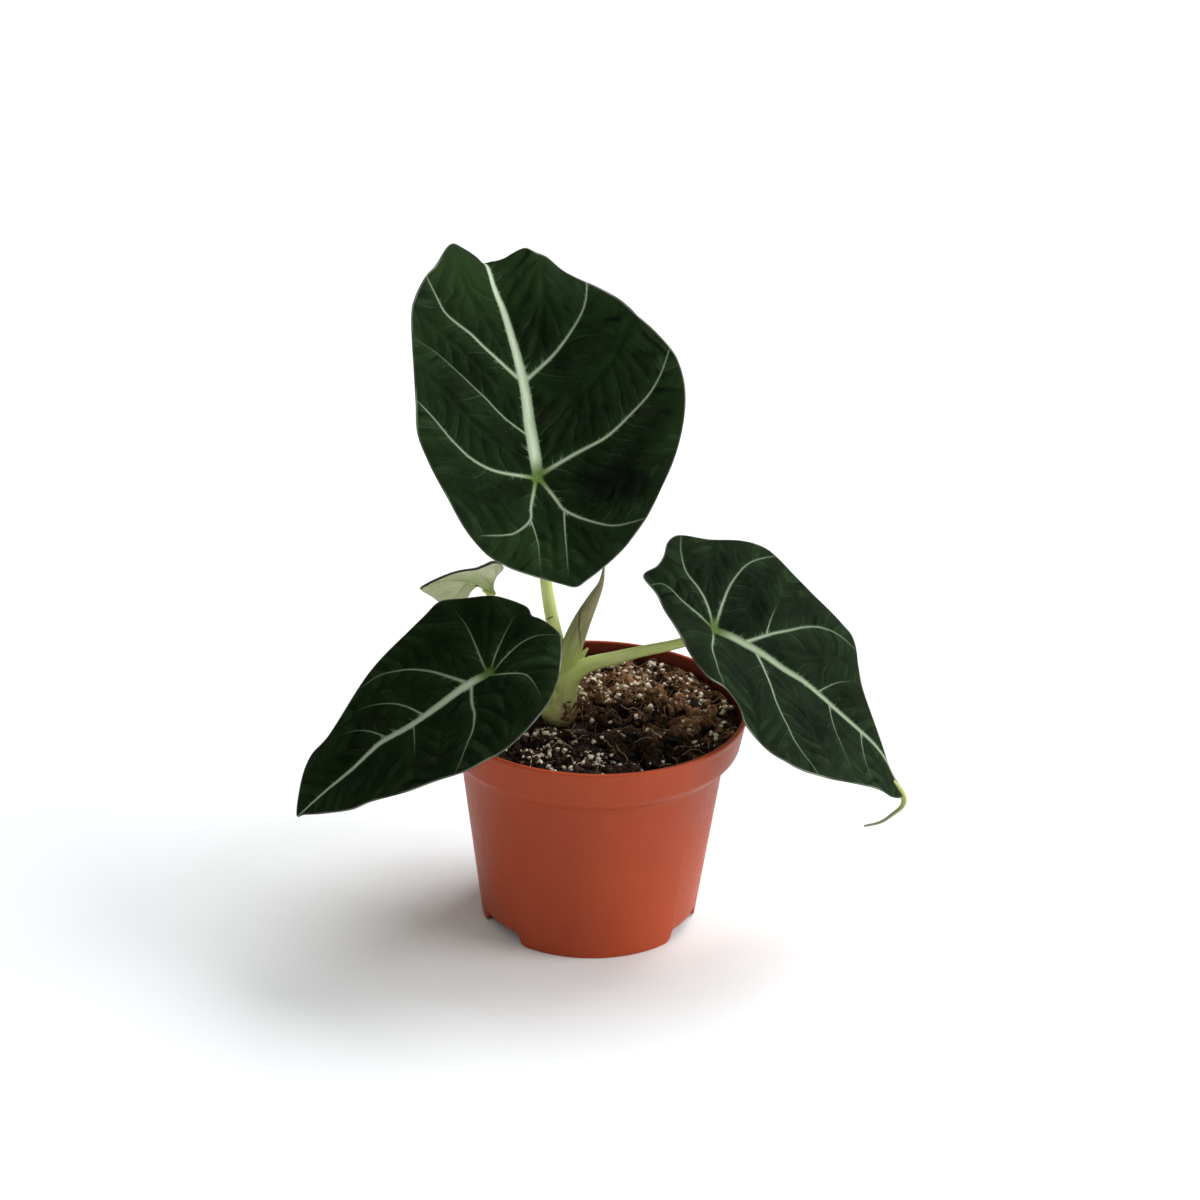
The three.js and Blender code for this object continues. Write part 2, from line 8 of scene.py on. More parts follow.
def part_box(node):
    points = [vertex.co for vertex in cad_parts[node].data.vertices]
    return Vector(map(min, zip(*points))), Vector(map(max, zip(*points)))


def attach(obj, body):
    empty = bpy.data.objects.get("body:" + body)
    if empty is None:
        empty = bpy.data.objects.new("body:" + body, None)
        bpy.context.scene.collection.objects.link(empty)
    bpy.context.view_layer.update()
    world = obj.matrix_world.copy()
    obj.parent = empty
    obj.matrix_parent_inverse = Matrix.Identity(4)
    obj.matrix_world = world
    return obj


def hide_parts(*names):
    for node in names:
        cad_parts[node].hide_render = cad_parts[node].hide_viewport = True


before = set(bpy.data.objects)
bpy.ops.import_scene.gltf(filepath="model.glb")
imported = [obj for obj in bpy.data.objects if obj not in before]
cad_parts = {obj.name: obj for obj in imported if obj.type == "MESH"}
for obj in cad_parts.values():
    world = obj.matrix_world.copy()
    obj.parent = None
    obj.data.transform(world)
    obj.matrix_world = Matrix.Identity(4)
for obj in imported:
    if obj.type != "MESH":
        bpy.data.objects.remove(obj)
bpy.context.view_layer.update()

# Sizes are in millimetres from the pot's axis at its feet, and are turned to metres in moved_to_row().
MM = 0.001
pot_low, pot_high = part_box("pot")
POT_AXIS = np.array([(pot_low.x + pot_high.x) / 2, (pot_low.y + pot_high.y) / 2, 0.0]) / MM

# Driving sizes ------------------------------------------------------------------------------------

POT = {
    "height": 88.7,
    "rim": 60.0,
    "collar": 57.4,
    "collar_height": 14.0,
    "shoulder": 55.5,
    "shoulder_height": 19.0,
    "body": 51.6,
    "base": 42.1,
    "wall": 1.3,
    "rim_wall": 1.9,
    "floor": 5.2,
    "turns": 720,
}
FEET = {"count": 3, "first": 66.0, "width": 22.0, "height": 4.8, "flare": 3.8, "lean": 1.0}
FOOT_RING = 7.0  # the notches bend the pot's outer surface up to this height
DRAIN = {"count": 6, "radius": 3.5, "ring": 28.0, "centre": 4.0}
# The soil: its mean level, the mound round the stem, how much the front is higher, and the heap at the
# back with the y that it starts and ends at. Loose bits start within bits_edge of the axis and off the
# stem; fibres stay within fibres_edge.
SOIL = {
    "level": 81.6,
    "mound": 1.2,
    "mound_spread": 24.0,
    "front_rise": 0.012,
    "heap": 3.0,
    "heap_from": -5.0,
    "heap_to": 50.0,
    "edge": 56.6,
    "bits_edge": 55.3,
    "fibres_edge": 55.0,
    "stem_room": 9.0,
    "foot": (42.0, 7.0),
    "inset": 1.6,
}
SOIL_WALL = [  # (radius, height) that the soil reaches inside the pot, from its body's top to its rim
    (POT["body"] - SOIL["inset"], POT["height"] - POT["shoulder_height"]),
    (POT["collar"] - SOIL["inset"], POT["height"] - POT["collar_height"]),
    (POT["rim"] - POT["rim_wall"] - 0.4, POT["height"]),
]
# Heights between which the painted shade on the pot's inner wall begins, and between which it
# lightens towards the rim.
INNER_WALL_SHADE = {"begins": (77.0, 79.0), "lightens": (82.0, 88.5)}
STEM = (-13.3, -2.2)
RHIZOME = [
    (0.0, 58.0), (3.4, 60.0), (5.0, 66.0), (5.2, 74.0), (4.6, 80.0), (5.3, 82.4), (6.5, 84.4),
    (7.3, 86.5), (7.5, 88.3), (7.1, 90.7), (5.9, 93.4), (3.8, 95.4), (0.0, 96.2),
]
# The rhizome turns brown to the right of the stem's middle, and above a height; near the soil it is
# darkened by painted shade. Each is a pair between which the colour changes.
RHIZOME_SKIN = {"brown": (-2.0, 5.0), "brown_above": (82.0, 88.0), "painted_shade_below": (88.5, 83.0)}
ROOTS = {
    "count": 6,
    "length": 27.0,
    "drop": 30.0,
    "thick": 1.5,
    "thin": 0.7,
    "start": 68.0,
    "inset": 3.0,
    "seed": 5,
}

# Blades: joint with the stalk, direction of the midrib and of the upper side, outline laid flat as
# [along the midrib, across it], and the bends that bent_blade() puts into it:
#   fold, fold_gain, groove, sag: how the two halves rise from the midrib and hang
#   sway (how far, over what length): the midrib's bow to one side
#   tip (from, radius, degrees), base (from, radius): where the sheet bends down round an arc
#   domes (u, v, height, spread), ripple (height, count, phase), navel (depth, spread)
# veins holds (width at the start, width at the end, how far it pales, flat points from the joint
# outwards), the midrib first; midrib is its brightness, and vein_strength scales them all. light is the
# upper side's tone, to which patches (u, v, spread, amount) add painted light and painted shade;
# grey_sheen greys it as a painted sheen. rolled is (width, least u + v / 2) of an edge on the side of
# positive v that shows the upper side from below. relief scales how far the sheet rises between the
# veins.
BLADES = {
    "blade_1": {
        "joint": (-23.0, 6.0, 181.5),
        "along": (-0.197, 0.573, 0.796),
        "facing": (0.323, -0.728, 0.604),
        "outline": [
            (-43.5, -8), (-41.5, -2), (-36.5, 11), (-33, 18.5), (-27.5, 26.5), (-17.5, 34.5),
            (-4.5, 40.5), (7.5, 45.5), (18.5, 48.5), (30, 47.5), (44.5, 46), (63, 44), (71, 41),
            (79, 35), (84, 28.5), (88, 23.5), (91, 18.5), (94, 12.5), (99, 8), (107, 3), (101, -3),
            (95, -7), (89.5, -10.5), (83, -12.5), (79, -19.5), (70.5, -29.5), (57.5, -45.5),
            (43.5, -56.5), (34.5, -60), (24, -60.5), (12, -57.5), (0, -52), (-11, -45),
            (-20.5, -38.5), (-29, -30.5), (-35, -23), (-41.5, -12.5),
        ],
        "hub": (12, 0),
        "fold": 0.22,
        "fold_gain": 0.3,
        "groove": 6,
        "tip": (68.3, 15, 18),
        "base": (-5, 140),
        "domes": [(86, -14, 8.5, 9.5)],
        "ripple": (0.6, 6, 40),
        "navel": (1.5, 6),
        "light": 0.36,
        "midrib": 1.0,
        # patches of painted light and painted shade on the upper side
        "patches": [
            (26, 46, 15, 0.4), (80, 14, 20, 0.65), (50, -38, 16, 0.12), (-34, 4, 16, 0.55),
            (-6, -22, 22, -0.35), (35, -16, 16, -0.2), (36, 28, 18, -0.12), (82, -8, 12, 0.12),
        ],
        "veins": [
            (5.4, 1.15, 0.1, [
                (0, 0), (18, 0), (35, -0.5), (50, 0.4), (66, 2.6), (78, 5.3), (89, 4), (104, 3),
            ]),
            (1.7, 0.55, 0.25, [(38, -1.5), (47, -14), (56.5, -23), (64, -28), (70, -30)]),
            (1.7, 0.55, 0.3, [(39.5, 1.5), (50, 12), (57, 19), (64, 28), (71.5, 32), (77, 34.5)]),
            (1.75, 0.45, 0.35, [
                (1, -1), (7, -15), (12, -28), (19, -38), (26, -46.5), (33, -52), (41, -56),
            ]),
            (1.6, 0.45, 0.25, [
                (0, 1), (1.5, 11.5), (3.6, 19.5), (8.6, 28), (15, 34), (23, 40), (28.5, 45),
            ]),
            (0.7, 0.2, 0.8, [(17, 2), (25, 11), (33, 18), (41, 26), (48, 33.5), (53.5, 42)]),
            (1.6, 0.4, 0.35, [(-1, 1), (-11, 5), (-16.6, 6.4), (-20.7, 13), (-21.3, 18.4), (-21, 24.5)]),
            (0.6, 0.2, 0.75, [(-16.5, 6), (-25, 4.6), (-33.5, 4.7)]),
            (1.7, 0.35, 0.6, [
                (-1, -1), (-10, -5.4), (-14.3, -8), (-19, -16), (-22.3, -25.7), (-21.5, -36),
            ]),
            (0.7, 0.3, 0.5, [(-14, -7.5), (-23.5, -6.6), (-34.5, -6)]),
        ],
        "spokes": 440,
        "rings": 90,
    },
    "blade_2": {
        "joint": (-40.1, -28.0, 115.5),
        "along": (-0.839, -0.26, -0.479),
        "facing": (-0.372, -0.369, 0.852),
        "outline": [
            (92, -2.5), (83.5, -14), (75, -20), (65, -21.5), (47, -28.5), (26.5, -37.5), (9.5, -40.8),
            (1.7, -42.3), (-6.2, -37.8), (-15.5, -33.7), (-20, -29.3), (-24.3, -22.3), (-25.5, -18.4),
            (-25.1, -14.4), (-27.1, -11.5), (-29.2, -7.3), (-30.9, -1.9), (-30, 2.6), (-26.5, 11.5),
            (-20.5, 24.5), (-14.5, 33), (-7.5, 38), (1, 41.5), (10, 44.5), (18.5, 44.5), (27, 43),
            (39.5, 35.5), (51, 30), (62.5, 23.5), (71, 19.5), (80.5, 10.5), (89, 1),
        ],
        "hub": (12, 0),
        "fold": 0.18,
        "sag": 0.0015,
        "groove": 6,
        "tip": (0, 300, 0),
        "base": (-2, 90),
        "ripple": (0.9, 6, 0),
        "navel": (1.5, 6),
        "light": 0.38,
        "midrib": 1.0,
        # patches of painted light and painted shade on the upper side
        "patches": [(10, 36, 14, -0.2), (-16, -12, 12, -0.15)],
        "veins": [
            (4.6, 0.6, 0.1, [
                (0, 0), (9, 0.1), (22.5, 1), (36, 0.9), (48.5, -1.6), (61, -0.4), (74.5, -0.7), (91, -1),
            ]),
            (1.0, 0.2, 0.8, [(0, -1), (0.3, -4.2), (-1, -14), (-2, -24), (-1.6, -32)]),
            (0.8, 0.2, 0.7, [(-1, -1), (-8.7, -8.2), (-13.8, -13), (-18, -17)]),
            (0.8, 0.2, 0.75, [(-1, 0.5), (-9, -2.2), (-16, -4.3), (-23, -4.4), (-28.6, -2)]),
            (0.9, 0.2, 0.7, [(-1, 2), (-6.7, 7.6), (-11, 12.7), (-12, 19.7), (-11.6, 27)]),
            (1.5, 0.35, 0.55, [
                (9, -1), (15.3, -10.6), (19, -16), (24, -21.5), (30.5, -25.5), (36, -28), (41.6, -28.4),
            ]),
            (1.5, 0.35, 0.65, [
                (8.5, 2), (11.5, 10.8), (12.8, 18.4), (16.5, 26), (20.4, 30.4), (25.8, 37), (28.6, 39.5),
            ]),
            (0.8, 0.2, 0.8, [(30, -1), (33.5, -8.2), (38, -14), (43.7, -18.5), (49.4, -21)]),
            (0.7, 0.2, 0.8, [(46, -2), (50.4, -9.6), (55, -14.4), (59.6, -17)]),
            (0.5, 0.2, 0.9, [(35, 2), (37, 9.6), (40, 17.5)]),
        ],
        "spokes": 360,
        "rings": 84,
    },
    "blade_3": {
        "joint": (46.0, -6.0, 125.7),
        "along": (0.843, -0.059, -0.535),
        "facing": (0.478, -0.374, 0.794),
        "outline": [
            (-33.5, 8), (-30, 14), (-29, 19.5), (-29.5, 26), (-28, 31), (-24.5, 34), (-15, 38),
            (-4.5, 44), (3, 47), (9.5, 48), (22.5, 46.5), (35, 43), (45.5, 41), (52, 40), (56.5, 37),
            (61.5, 31), (68.5, 23.5), (84.5, 10), (93, 3.5), (103.5, -0.5), (98, -8), (89.5, -12.5),
            (75, -23.5), (61.5, -34.5), (50, -42.5), (40.5, -43.5), (31.5, -42), (22, -41), (17, -37),
            (9.5, -36.5), (1.5, -38), (-4.5, -34), (-10.5, -22.5), (-16.5, -13.5), (-25, 1),
        ],
        "hub": (12, 0),
        "fold": 0.22,
        "sag": 0.0015,
        "groove": 6,
        "sway": (6, 104),
        "tip": (0, 260, 0),
        "base": (-2, 90),
        "domes": [(0, -34, 6, 20), (34, -42, -3, 10)],
        "ripple": (0.9, 7, 90),
        "navel": (1.5, 6),
        "light": 0.31,
        "midrib": 0.0,
        # a painted grey sheen over this blade's upper side
        "grey_sheen": 1.0,
        "vein_strength": 0.85,
        # patches of painted light and painted shade on the upper side
        "patches": [(38, 28, 16, 0.4), (70, -4, 14, 0.2), (13, 22, 9, -0.3), (-9, -18, 12, 0.2)],
        "veins": [
            (4.7, 0.9, 0.05, [
                (0, 0), (13, 1.8), (27.7, 3.4), (44, 5.6), (56, 5.4), (68, 5.9), (81, 6.5), (90, 4.9),
                (97.7, 1.1), (103, -0.5),
            ]),
            (1.3, 0.3, 0.5, [(-0.5, 1), (-6, 7.2), (-12, 12.2), (-19, 17), (-23.5, 25), (-25.3, 31)]),
            (1.1, 0.3, 0.5, [(-1, 0.5), (-9, 2), (-16.3, 4), (-21.7, 6.7), (-25.5, 7.5), (-28.6, 6)]),
            (1.4, 0.3, 0.5, [
                (0, 2), (-0.7, 6.7), (-1.3, 13.3), (-1.3, 23.6), (0.8, 34), (4.6, 40.7), (9.8, 47),
            ]),
            (1.6, 0.4, 0.6, [
                (13, 2.5), (20.7, 13), (27.3, 20.7), (34, 28.3), (41, 33.3), (48.5, 35.7), (55, 36),
            ]),
            (1.1, 0.3, 0.5, [(0, -1), (0.4, -16.5), (3, -28.6), (6.6, -35)]),
            (1.3, 0.3, 0.4, [(18, 2), (27, -8.6), (32, -18), (38.5, -25), (45.5, -31.4), (57, -36.4)]),
            (0.5, 0.2, 0.8, [(49, 6), (55, 16.4), (60, 22)]),
            (0.5, 0.2, 0.7, [(56, 4), (61, -5.6), (70, -14)]),
            (0.5, 0.2, 0.8, [(74, 5), (78.6, -4.6), (84, -11)]),
            (0.6, 0.2, 0.85, [(19.6, 13), (19, 20), (19, 27)]),
        ],
        "spokes": 400,
        "rings": 88,
    },
    "blade_4": {
        "joint": (-41.4, 30.0, 123.5),
        "along": (-0.911, 0.407, 0.069),
        "facing": (0.372, 0.739, 0.561),
        "outline": [
            (-2.5, 4.5), (-6.5, 14.5), (-12.5, 26), (-9.5, 30.5), (-2, 22), (5, 14.5), (17.5, 6.5),
            (25, 3), (29, 0.5), (25.5, -6.5), (22.5, -11.5), (16.5, -13.5), (11.5, -9), (9, -4.5),
            (5, 0), (2.5, -1.2), (0, -2.5), (-2.5, -1),
        ],
        "hub": (6, 6),
        "fold": -0.15,
        "groove": 4,
        "sway": (3, 29),
        "tip": (4, 34, 0),
        "base": (-40, 90),
        "navel": (1.5, 4),
        "light": 0.2,
        "midrib": 0.5,
        "rolled": (1.2, 3.0),
        "relief": 0.5,
        "veins": [
            (1.4, 0.4, 0.3, [(0, 0), (8, 2.4), (16, 3), (24, 1.6), (28.5, 0.5)]),
            (0.9, 0.2, 0.3, [(0, 0), (-3, 7), (-6, 14), (-9, 25)]),
            (0.6, 0.2, 0.5, [(9, 2), (13, -3), (17, -9)]),
            (0.5, 0.2, 0.5, [(-2, 5), (1, 11), (2, 15)]),
        ],
        "spokes": 220,
        "rings": 44,
    },
}
DRIP_TIP = [
    (117.2, -5.3, 61.5, 1.0), (119.4, -5.3, 59.2, 1.3), (122.0, -5.1, 54.5, 1.2), (121.6, -5, 50.8, 0.95),
    (118.6, -5, 47.6, 0.75), (113.7, -5, 43.6, 0.6), (107.2, -5, 41.6, 0.4),
]
BLADE_MIDDLE = 0.6  # thickness away from the veins
BLADE_EDGE = 0.36
SIDE_VEINS = 8.0  # spacing along a main vein
# Heights of the blade's relief: the rise from each main vein, the pillows between side veins, the fine
# pleats on them, two sizes of wrinkles, the trough along a main vein and the rib under it.
RELIEF = {
    "swell": 0.35,
    "pillow": 0.85,
    "pleat": 0.1,
    "wrinkle": 0.3,
    "fine_wrinkle": 0.12,
    "trough": 0.3,
    "rib": 0.75,
}
LOWER_SIDE = 40.0  # moves the lower face's noise away from the upper one's
JOINT_DEPTH = 0.7  # from the blade's middle sheet down to the end of its stalk

# Stalks: (x, y, z, radius) from the rhizome upwards.
NEW_LEAF = [
    (-11.6, -2.6, 86, 2), (-10.9, -2.5, 96, 2.2), (-10, -2.5, 106, 3.3), (-8.4, -2.2, 115.3, 4.1),
    (-5.2, -1.8, 125, 3.4), (-0.8, -1.2, 135, 2.1), (1.7, -1, 141.2, 1.1), (2.7, -1, 148, 0.4),
]
PETIOLES = {
    "petiole_1": ("blade_1", 2.1, [
        (-13.2, -0.8, 86, 3.1), (-13.3, -0.5, 105.8, 2.9), (-14.6, 0, 115.4, 2.75), (-17, 1.5, 126, 2.55),
        (-19.4, 3, 140, 2.3), (-21.8, 5, 164, 2.15),
    ]),
    "petiole_4": ("blade_4", 0.9, [
        (-14.6, 1.4, 86, 2.4), (-17, 4.5, 98, 2.2), (-25, 13, 109, 1.7), (-34, 22.5, 116, 1.3),
    ]),
    "petiole_2": ("blade_2", 2.0, [
        (-14.6, -4.4, 86, 2.9), (-17, -6, 97, 2.7), (-24, -12.5, 105, 2.4), (-33, -21.5, 111, 2.1),
    ]),
    "petiole_3": ("blade_3", 1.8, [
        (-11.2, -3.4, 86, 4.6), (-10.6, -3.6, 96, 4.4), (-8.6, -4.3, 103, 3.8), (-2.4, -5, 108.4, 3),
        (7.8, -5.5, 111.8, 2.6), (17.4, -6, 115, 2.2), (33.3, -6.5, 119.5, 1.9),
    ]),
}
SHEATH_TIP = [
    (-8, -2.6, 101, 2), (-6.6, -1.4, 106, 1.8), (-4.8, -0.2, 110, 1.2), (-2.7, 0.6, 112.8, 0.4),
]
# The young leaf's lapping edge: (share of its length, turn round its roll), from the right at the foot
# to the left higher up.
LAP = [
    (0.25, 2.8), (0.42, 2.35), (0.52, 2.05), (0.58, 1.55), (0.645, 0.95), (0.7, 0.3), (0.8, -0.3),
    (1.0, -1.0),
]
# A short dark nick in a stalk, which rises by slant along x. Half its height and half its width, each
# where it ends and where it is darkest.
SCAR = {"place": (-17.5, -0.9, 125.9), "slant": 0.6, "height": (0.6, 0.2), "width": (1.4, 0.8)}


# Shapes as arrays ---------------------------------------------------------------------------------


def smooth_line(points, steps, closed=False):
    """A smooth line through points a, b, c, d ...: between b and c each coordinate is the cubic
    (2b + (c-a)t + (2a-5b+4c-d)t^2 + (3b-a-3c+d)t^3) / 2 for t from 0 to 1."""
    p = np.asarray(points, float)
    if closed:
        p = np.vstack([p[-1:], p, p[:2]])
    else:
        p = np.vstack([2 * p[:1] - p[1:2], p, 2 * p[-1:] - p[-2:-1]])
    a, b, c, d = (p[i : len(p) - 3 + i, None] for i in range(4))
    t = np.arange(steps)[None, :, None] / steps
    bend, twist = 2 * a - 5 * b + 4 * c - d, 3 * b - a - 3 * c + d
    line = 0.5 * (2 * b + (c - a) * t + bend * t**2 + twist * t**3)
    line = line.reshape(-1, p.shape[1])
    return line if closed else np.vstack([line, p[-2:-1]])


def evenly(line, count, closed=False):
    """The same line with `count` points at equal distances along it."""
    p = np.vstack([line, line[:1]]) if closed else np.asarray(line, float)
    run = np.concatenate([[0.0], np.cumsum(np.linalg.norm(np.diff(p[:, :3], axis=0), axis=1))])
    at = np.linspace(0, run[-1], count + 1)[:-1] if closed else np.linspace(0, run[-1], count)
    return np.stack([np.interp(at, run, p[:, k]) for k in range(p.shape[1])], 1)


def unit(v):
    """Vectors divided by their length."""
    return v / np.maximum(np.linalg.norm(v, axis=-1, keepdims=True), 1e-9)


def lumps(x, y, size, seed):
    """Smooth random heights from -1 to 1: random values on a square grid of the given size, blended
    between the four corners of a cell with 3t^2 - 2t^3."""
    table = np.random.default_rng(seed).uniform(-1, 1, (97, 97))
    gx, gy = x / size, y / size
    ix, iy = np.floor(gx).astype(int), np.floor(gy).astype(int)
    tx, ty = (t * t * (3 - 2 * t) for t in (gx - ix, gy - iy))
    corner = [[table[(ix + i) % 97, (iy + j) % 97] for j in (0, 1)] for i in (0, 1)]
    low = corner[0][0] * (1 - ty) + corner[0][1] * ty
    high = corner[1][0] * (1 - ty) + corner[1][1] * ty
    return low * (1 - tx) + high * tx


def bell(x, y, middle, spread):
    """exp(-dx^2 - dy^2), dx and dy being how many spreads a place lies from the middle."""
    return np.exp(-(((x - middle[0]) / spread[0]) ** 2 + ((y - middle[1]) / spread[1]) ** 2))


def twice(values):
    """The same rows for the upper and the lower face of a sheet."""
    return np.concatenate([values, values])


def grid_quads(rows, columns):
    """Faces of a grid of points whose columns close into a ring."""
    i, j = np.meshgrid(np.arange(rows - 1), np.arange(columns), indexing="ij")
    k = (j + 1) % columns
    quads = np.stack([i * columns + j, i * columns + k, (i + 1) * columns + k, (i + 1) * columns + j], -1)
    return quads.reshape(-1, 4)


def fan(centre, ring, outward_last):
    """Triangles from one point to a ring of points."""
    after = np.roll(ring, -1)
    hub = np.full_like(ring, centre)
    return np.stack([hub, ring, after] if outward_last else [hub, after, ring], -1)


def tube(route, sides, steps, section=None, reference=(0.0, -1.0, 0.0)):
    """A closed stalk: round each point c of the centre line, with tangent t, lies the ring
    c + r(a)(n cos a + b sin a), where n is across the reference and t, and b across t and n.
    section(turn, share) scales the radius r; both ends close to a point."""
    line = evenly(smooth_line(route, 12), steps)
    centre, radius = line[:, :3], line[:, 3]
    tangent = unit(np.gradient(centre, axis=0))
    normal = unit(np.cross(np.array(reference), tangent))
    binormal = np.cross(tangent, normal)
    turn = np.linspace(0, 2 * np.pi, sides, endpoint=False)
    share = np.linspace(0, 1, steps)
    scale = np.ones((steps, sides)) if section is None else section(turn[None], share[:, None])
    r = radius[:, None] * scale
    ring = centre[:, None] + r[..., None] * (
        np.cos(turn)[None, :, None] * normal[:, None] + np.sin(turn)[None, :, None] * binormal[:, None]
    )
    run = np.concatenate([[0.0], np.cumsum(np.linalg.norm(np.diff(centre, axis=0), axis=1))])
    around = np.stack(np.broadcast_arrays(
        radius.mean() * np.cos(turn)[None], radius.mean() * np.sin(turn)[None], run[:, None]), -1)
    points = np.vstack([ring.reshape(-1, 3), centre[:1], centre[-1:]])
    skin = np.vstack([around.reshape(-1, 3), [[0, 0, 0]], [[0, 0, run[-1]]]])
    last = steps * sides
    rings = np.arange(last).reshape(steps, sides)
    faces = [grid_quads(steps, sides), fan(last, rings[0], False), fan(last + 1, rings[-1], True)]
    return points, faces, skin


def turned(profile, count):
    """A profile of (radius, height) turned about the pot's axis: (r cos a, r sin a, z). Its first and
    last points lie on the axis and close it."""
    p = np.asarray(profile, float)
    turn = np.linspace(0, 2 * np.pi, count, endpoint=False)
    inner = p[1:-1]
    r, z = inner[:, :1], inner[:, 1:]
    ring = np.stack(np.broadcast_arrays(r * np.cos(turn), r * np.sin(turn), z), -1)
    points = np.vstack([ring.reshape(-1, 3), [[0, 0, p[0, 1]]], [[0, 0, p[-1, 1]]]])
    last = len(inner) * count
    rings = np.arange(last).reshape(len(inner), count)
    ends = [fan(last, rings[0], False), fan(last + 1, rings[-1], True)]
    return points, [grid_quads(len(inner), count), *ends]


def pebble(bands, sides):
    """A unit ball of a few dozen faces: rings at equal steps of latitude between two poles."""
    lift = np.linspace(-np.pi / 2, np.pi / 2, bands + 2)[1:-1]
    turn = np.linspace(0, 2 * np.pi, sides, endpoint=False)
    wide, high = np.cos(lift)[:, None], np.sin(lift)[:, None]
    ring = np.stack(np.broadcast_arrays(wide * np.cos(turn), wide * np.sin(turn), high), -1)
    points = np.vstack([ring.reshape(-1, 3), [[0, 0, -1]], [[0, 0, 1]]])
    last = bands * sides
    rings = np.arange(last).reshape(bands, sides)
    quads = grid_quads(bands, sides)
    halves = np.vstack([quads[:, [0, 1, 2]], quads[:, [0, 2, 3]]])
    return points, np.vstack([halves, fan(last, rings[0], False), fan(last + 1, rings[-1], True)])


def scattered(shape, places, sizes, rng, rough, tilt=1.0):
    """Many copies of one small shape: its points p, scaled by three sizes a piece and pushed in or out
    at random by up to `rough`, are turned by the unit quaternion (w, tilt x, tilt y, z) and moved."""
    points, faces = shape
    count = len(places)
    q = rng.normal(size=(count, 4)) * np.array([1.0, tilt, tilt, 1.0])
    w, x, y, z = unit(q).T
    turn = np.stack([
        1 - 2 * (y * y + z * z), 2 * (x * y - z * w), 2 * (x * z + y * w),
        2 * (x * y + z * w), 1 - 2 * (x * x + z * z), 2 * (y * z - x * w),
        2 * (x * z - y * w), 2 * (y * z + x * w), 1 - 2 * (x * x + y * y),
    ], -1).reshape(count, 3, 3)
    push = 1 + rough * rng.uniform(-1, 1, (count, len(points), 1))
    local = points[None] * push * sizes[:, None]
    placed = np.einsum("nij,nkj->nki", turn, local) + places[:, None]
    shifted = faces[None] + (np.arange(count) * len(points))[:, None, None]
    return placed.reshape(-1, 3), shifted.reshape(-1, faces.shape[1])


# Pieces -------------------------------------------------------------------------------------------


def moved_to_row(points):
    """Points in millimetres from the pot's axis, as places in metres in the row frame."""
    return ((np.asarray(points) + POT_AXIS) * MM).tolist()


def metres(sizes):
    """Sizes in millimetres as sizes in metres."""
    return tuple(size * MM for size in sizes)


def as_lists(faces):
    """All faces of some arrays of faces, each as a list of point numbers."""
    return [face for part in faces for face in part.tolist()]


def new_piece(name, points, faces, materials, replaces=(), attributes=None, second=None,
              smooth=True):
    """A mesh object from points in millimetres. attributes are vectors or numbers kept at its points;
    second says, face by face, which faces take the second material."""
    faces = faces if isinstance(faces, list) else [faces]
    mesh = bpy.data.meshes.new(name)
    mesh.from_pydata(moved_to_row(points), [], as_lists(faces))
    for material in materials:
        mesh.materials.append(material)
    if second is not None:
        mesh.polygons.foreach_set("material_index", np.asarray(second, np.int32))
    mesh.polygons.foreach_set("use_smooth", np.full(len(mesh.polygons), smooth))
    for key, values in (attributes or {}).items():
        vector = values.ndim == 2
        made = mesh.attributes.new(key, "FLOAT_VECTOR" if vector else "FLOAT", "POINT")
        made.data.foreach_set("vector" if vector else "value", values.astype(np.float32).ravel())
    mesh.update()
    piece = bpy.data.objects.new(name, mesh)
    bpy.context.scene.collection.objects.link(piece)
    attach(piece, "root")
    if replaces:
        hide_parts(*replaces)
    return piece


# Blades -------------------------------------------------------------------------------------------


def bent_blade(blade, u, v, edge):
    """Where the flat point (u, v) lies, as (along, across, up). The halves rise from the midrib by
    fold * (sqrt(w^2 + groove^2) - groove) and hang by sag * w^2, w being the distance from it; domes
    and the navel are bells exp(-d^2/s^2); the edge ripples as sin(n * turn). Past `tip` and `base` the
    sheet bends down round an arc."""
    sway, reach = blade.get("sway", (0, 100))
    off = v - sway * np.sin(np.pi * np.clip(u / reach, 0, 1))
    slope = blade["fold"] + blade.get("fold_gain", 0) * (np.maximum(u, 0) / 100) ** 2
    up = slope * (np.hypot(off, blade["groove"]) - blade["groove"]) - blade.get("sag", 0) * off**2
    for dome_u, dome_v, height, spread in blade.get("domes", []):
        up = up + height * np.exp(-((u - dome_u) ** 2 + (v - dome_v) ** 2) / spread**2)
    height, count, phase = blade.get("ripple", (0, 1, 0))
    turn = np.arctan2(v - blade["hub"][1], u - blade["hub"][0])
    up = up + height * edge**2 * np.sin(count * turn + math.radians(phase))
    depth, spread = blade["navel"]
    up = up - depth * np.exp(-(u * u + v * v) / spread**2)

    tip_from, tip_radius, skew = blade["tip"]
    base_from, base_radius = blade["base"]
    c, s = math.cos(math.radians(skew)), math.sin(math.radians(skew))
    run, beside = u * c - v * s, u * s + v * c
    past_tip, past_base = run > tip_from, run < base_from
    start = np.where(past_tip, tip_from, base_from)
    radius = np.where(past_tip, tip_radius, base_radius)
    angle = np.where(past_tip | past_base, (run - start) / radius, 0.0)
    forward = np.where(past_tip | past_base, start + radius * np.sin(angle), run)
    drop = np.where(past_tip | past_base, radius * (1 - np.cos(angle)), 0.0)
    bent = forward + up * np.sin(angle)
    return np.stack([bent * c + beside * s, beside * c - bent * s, up * np.cos(angle) - drop], -1)


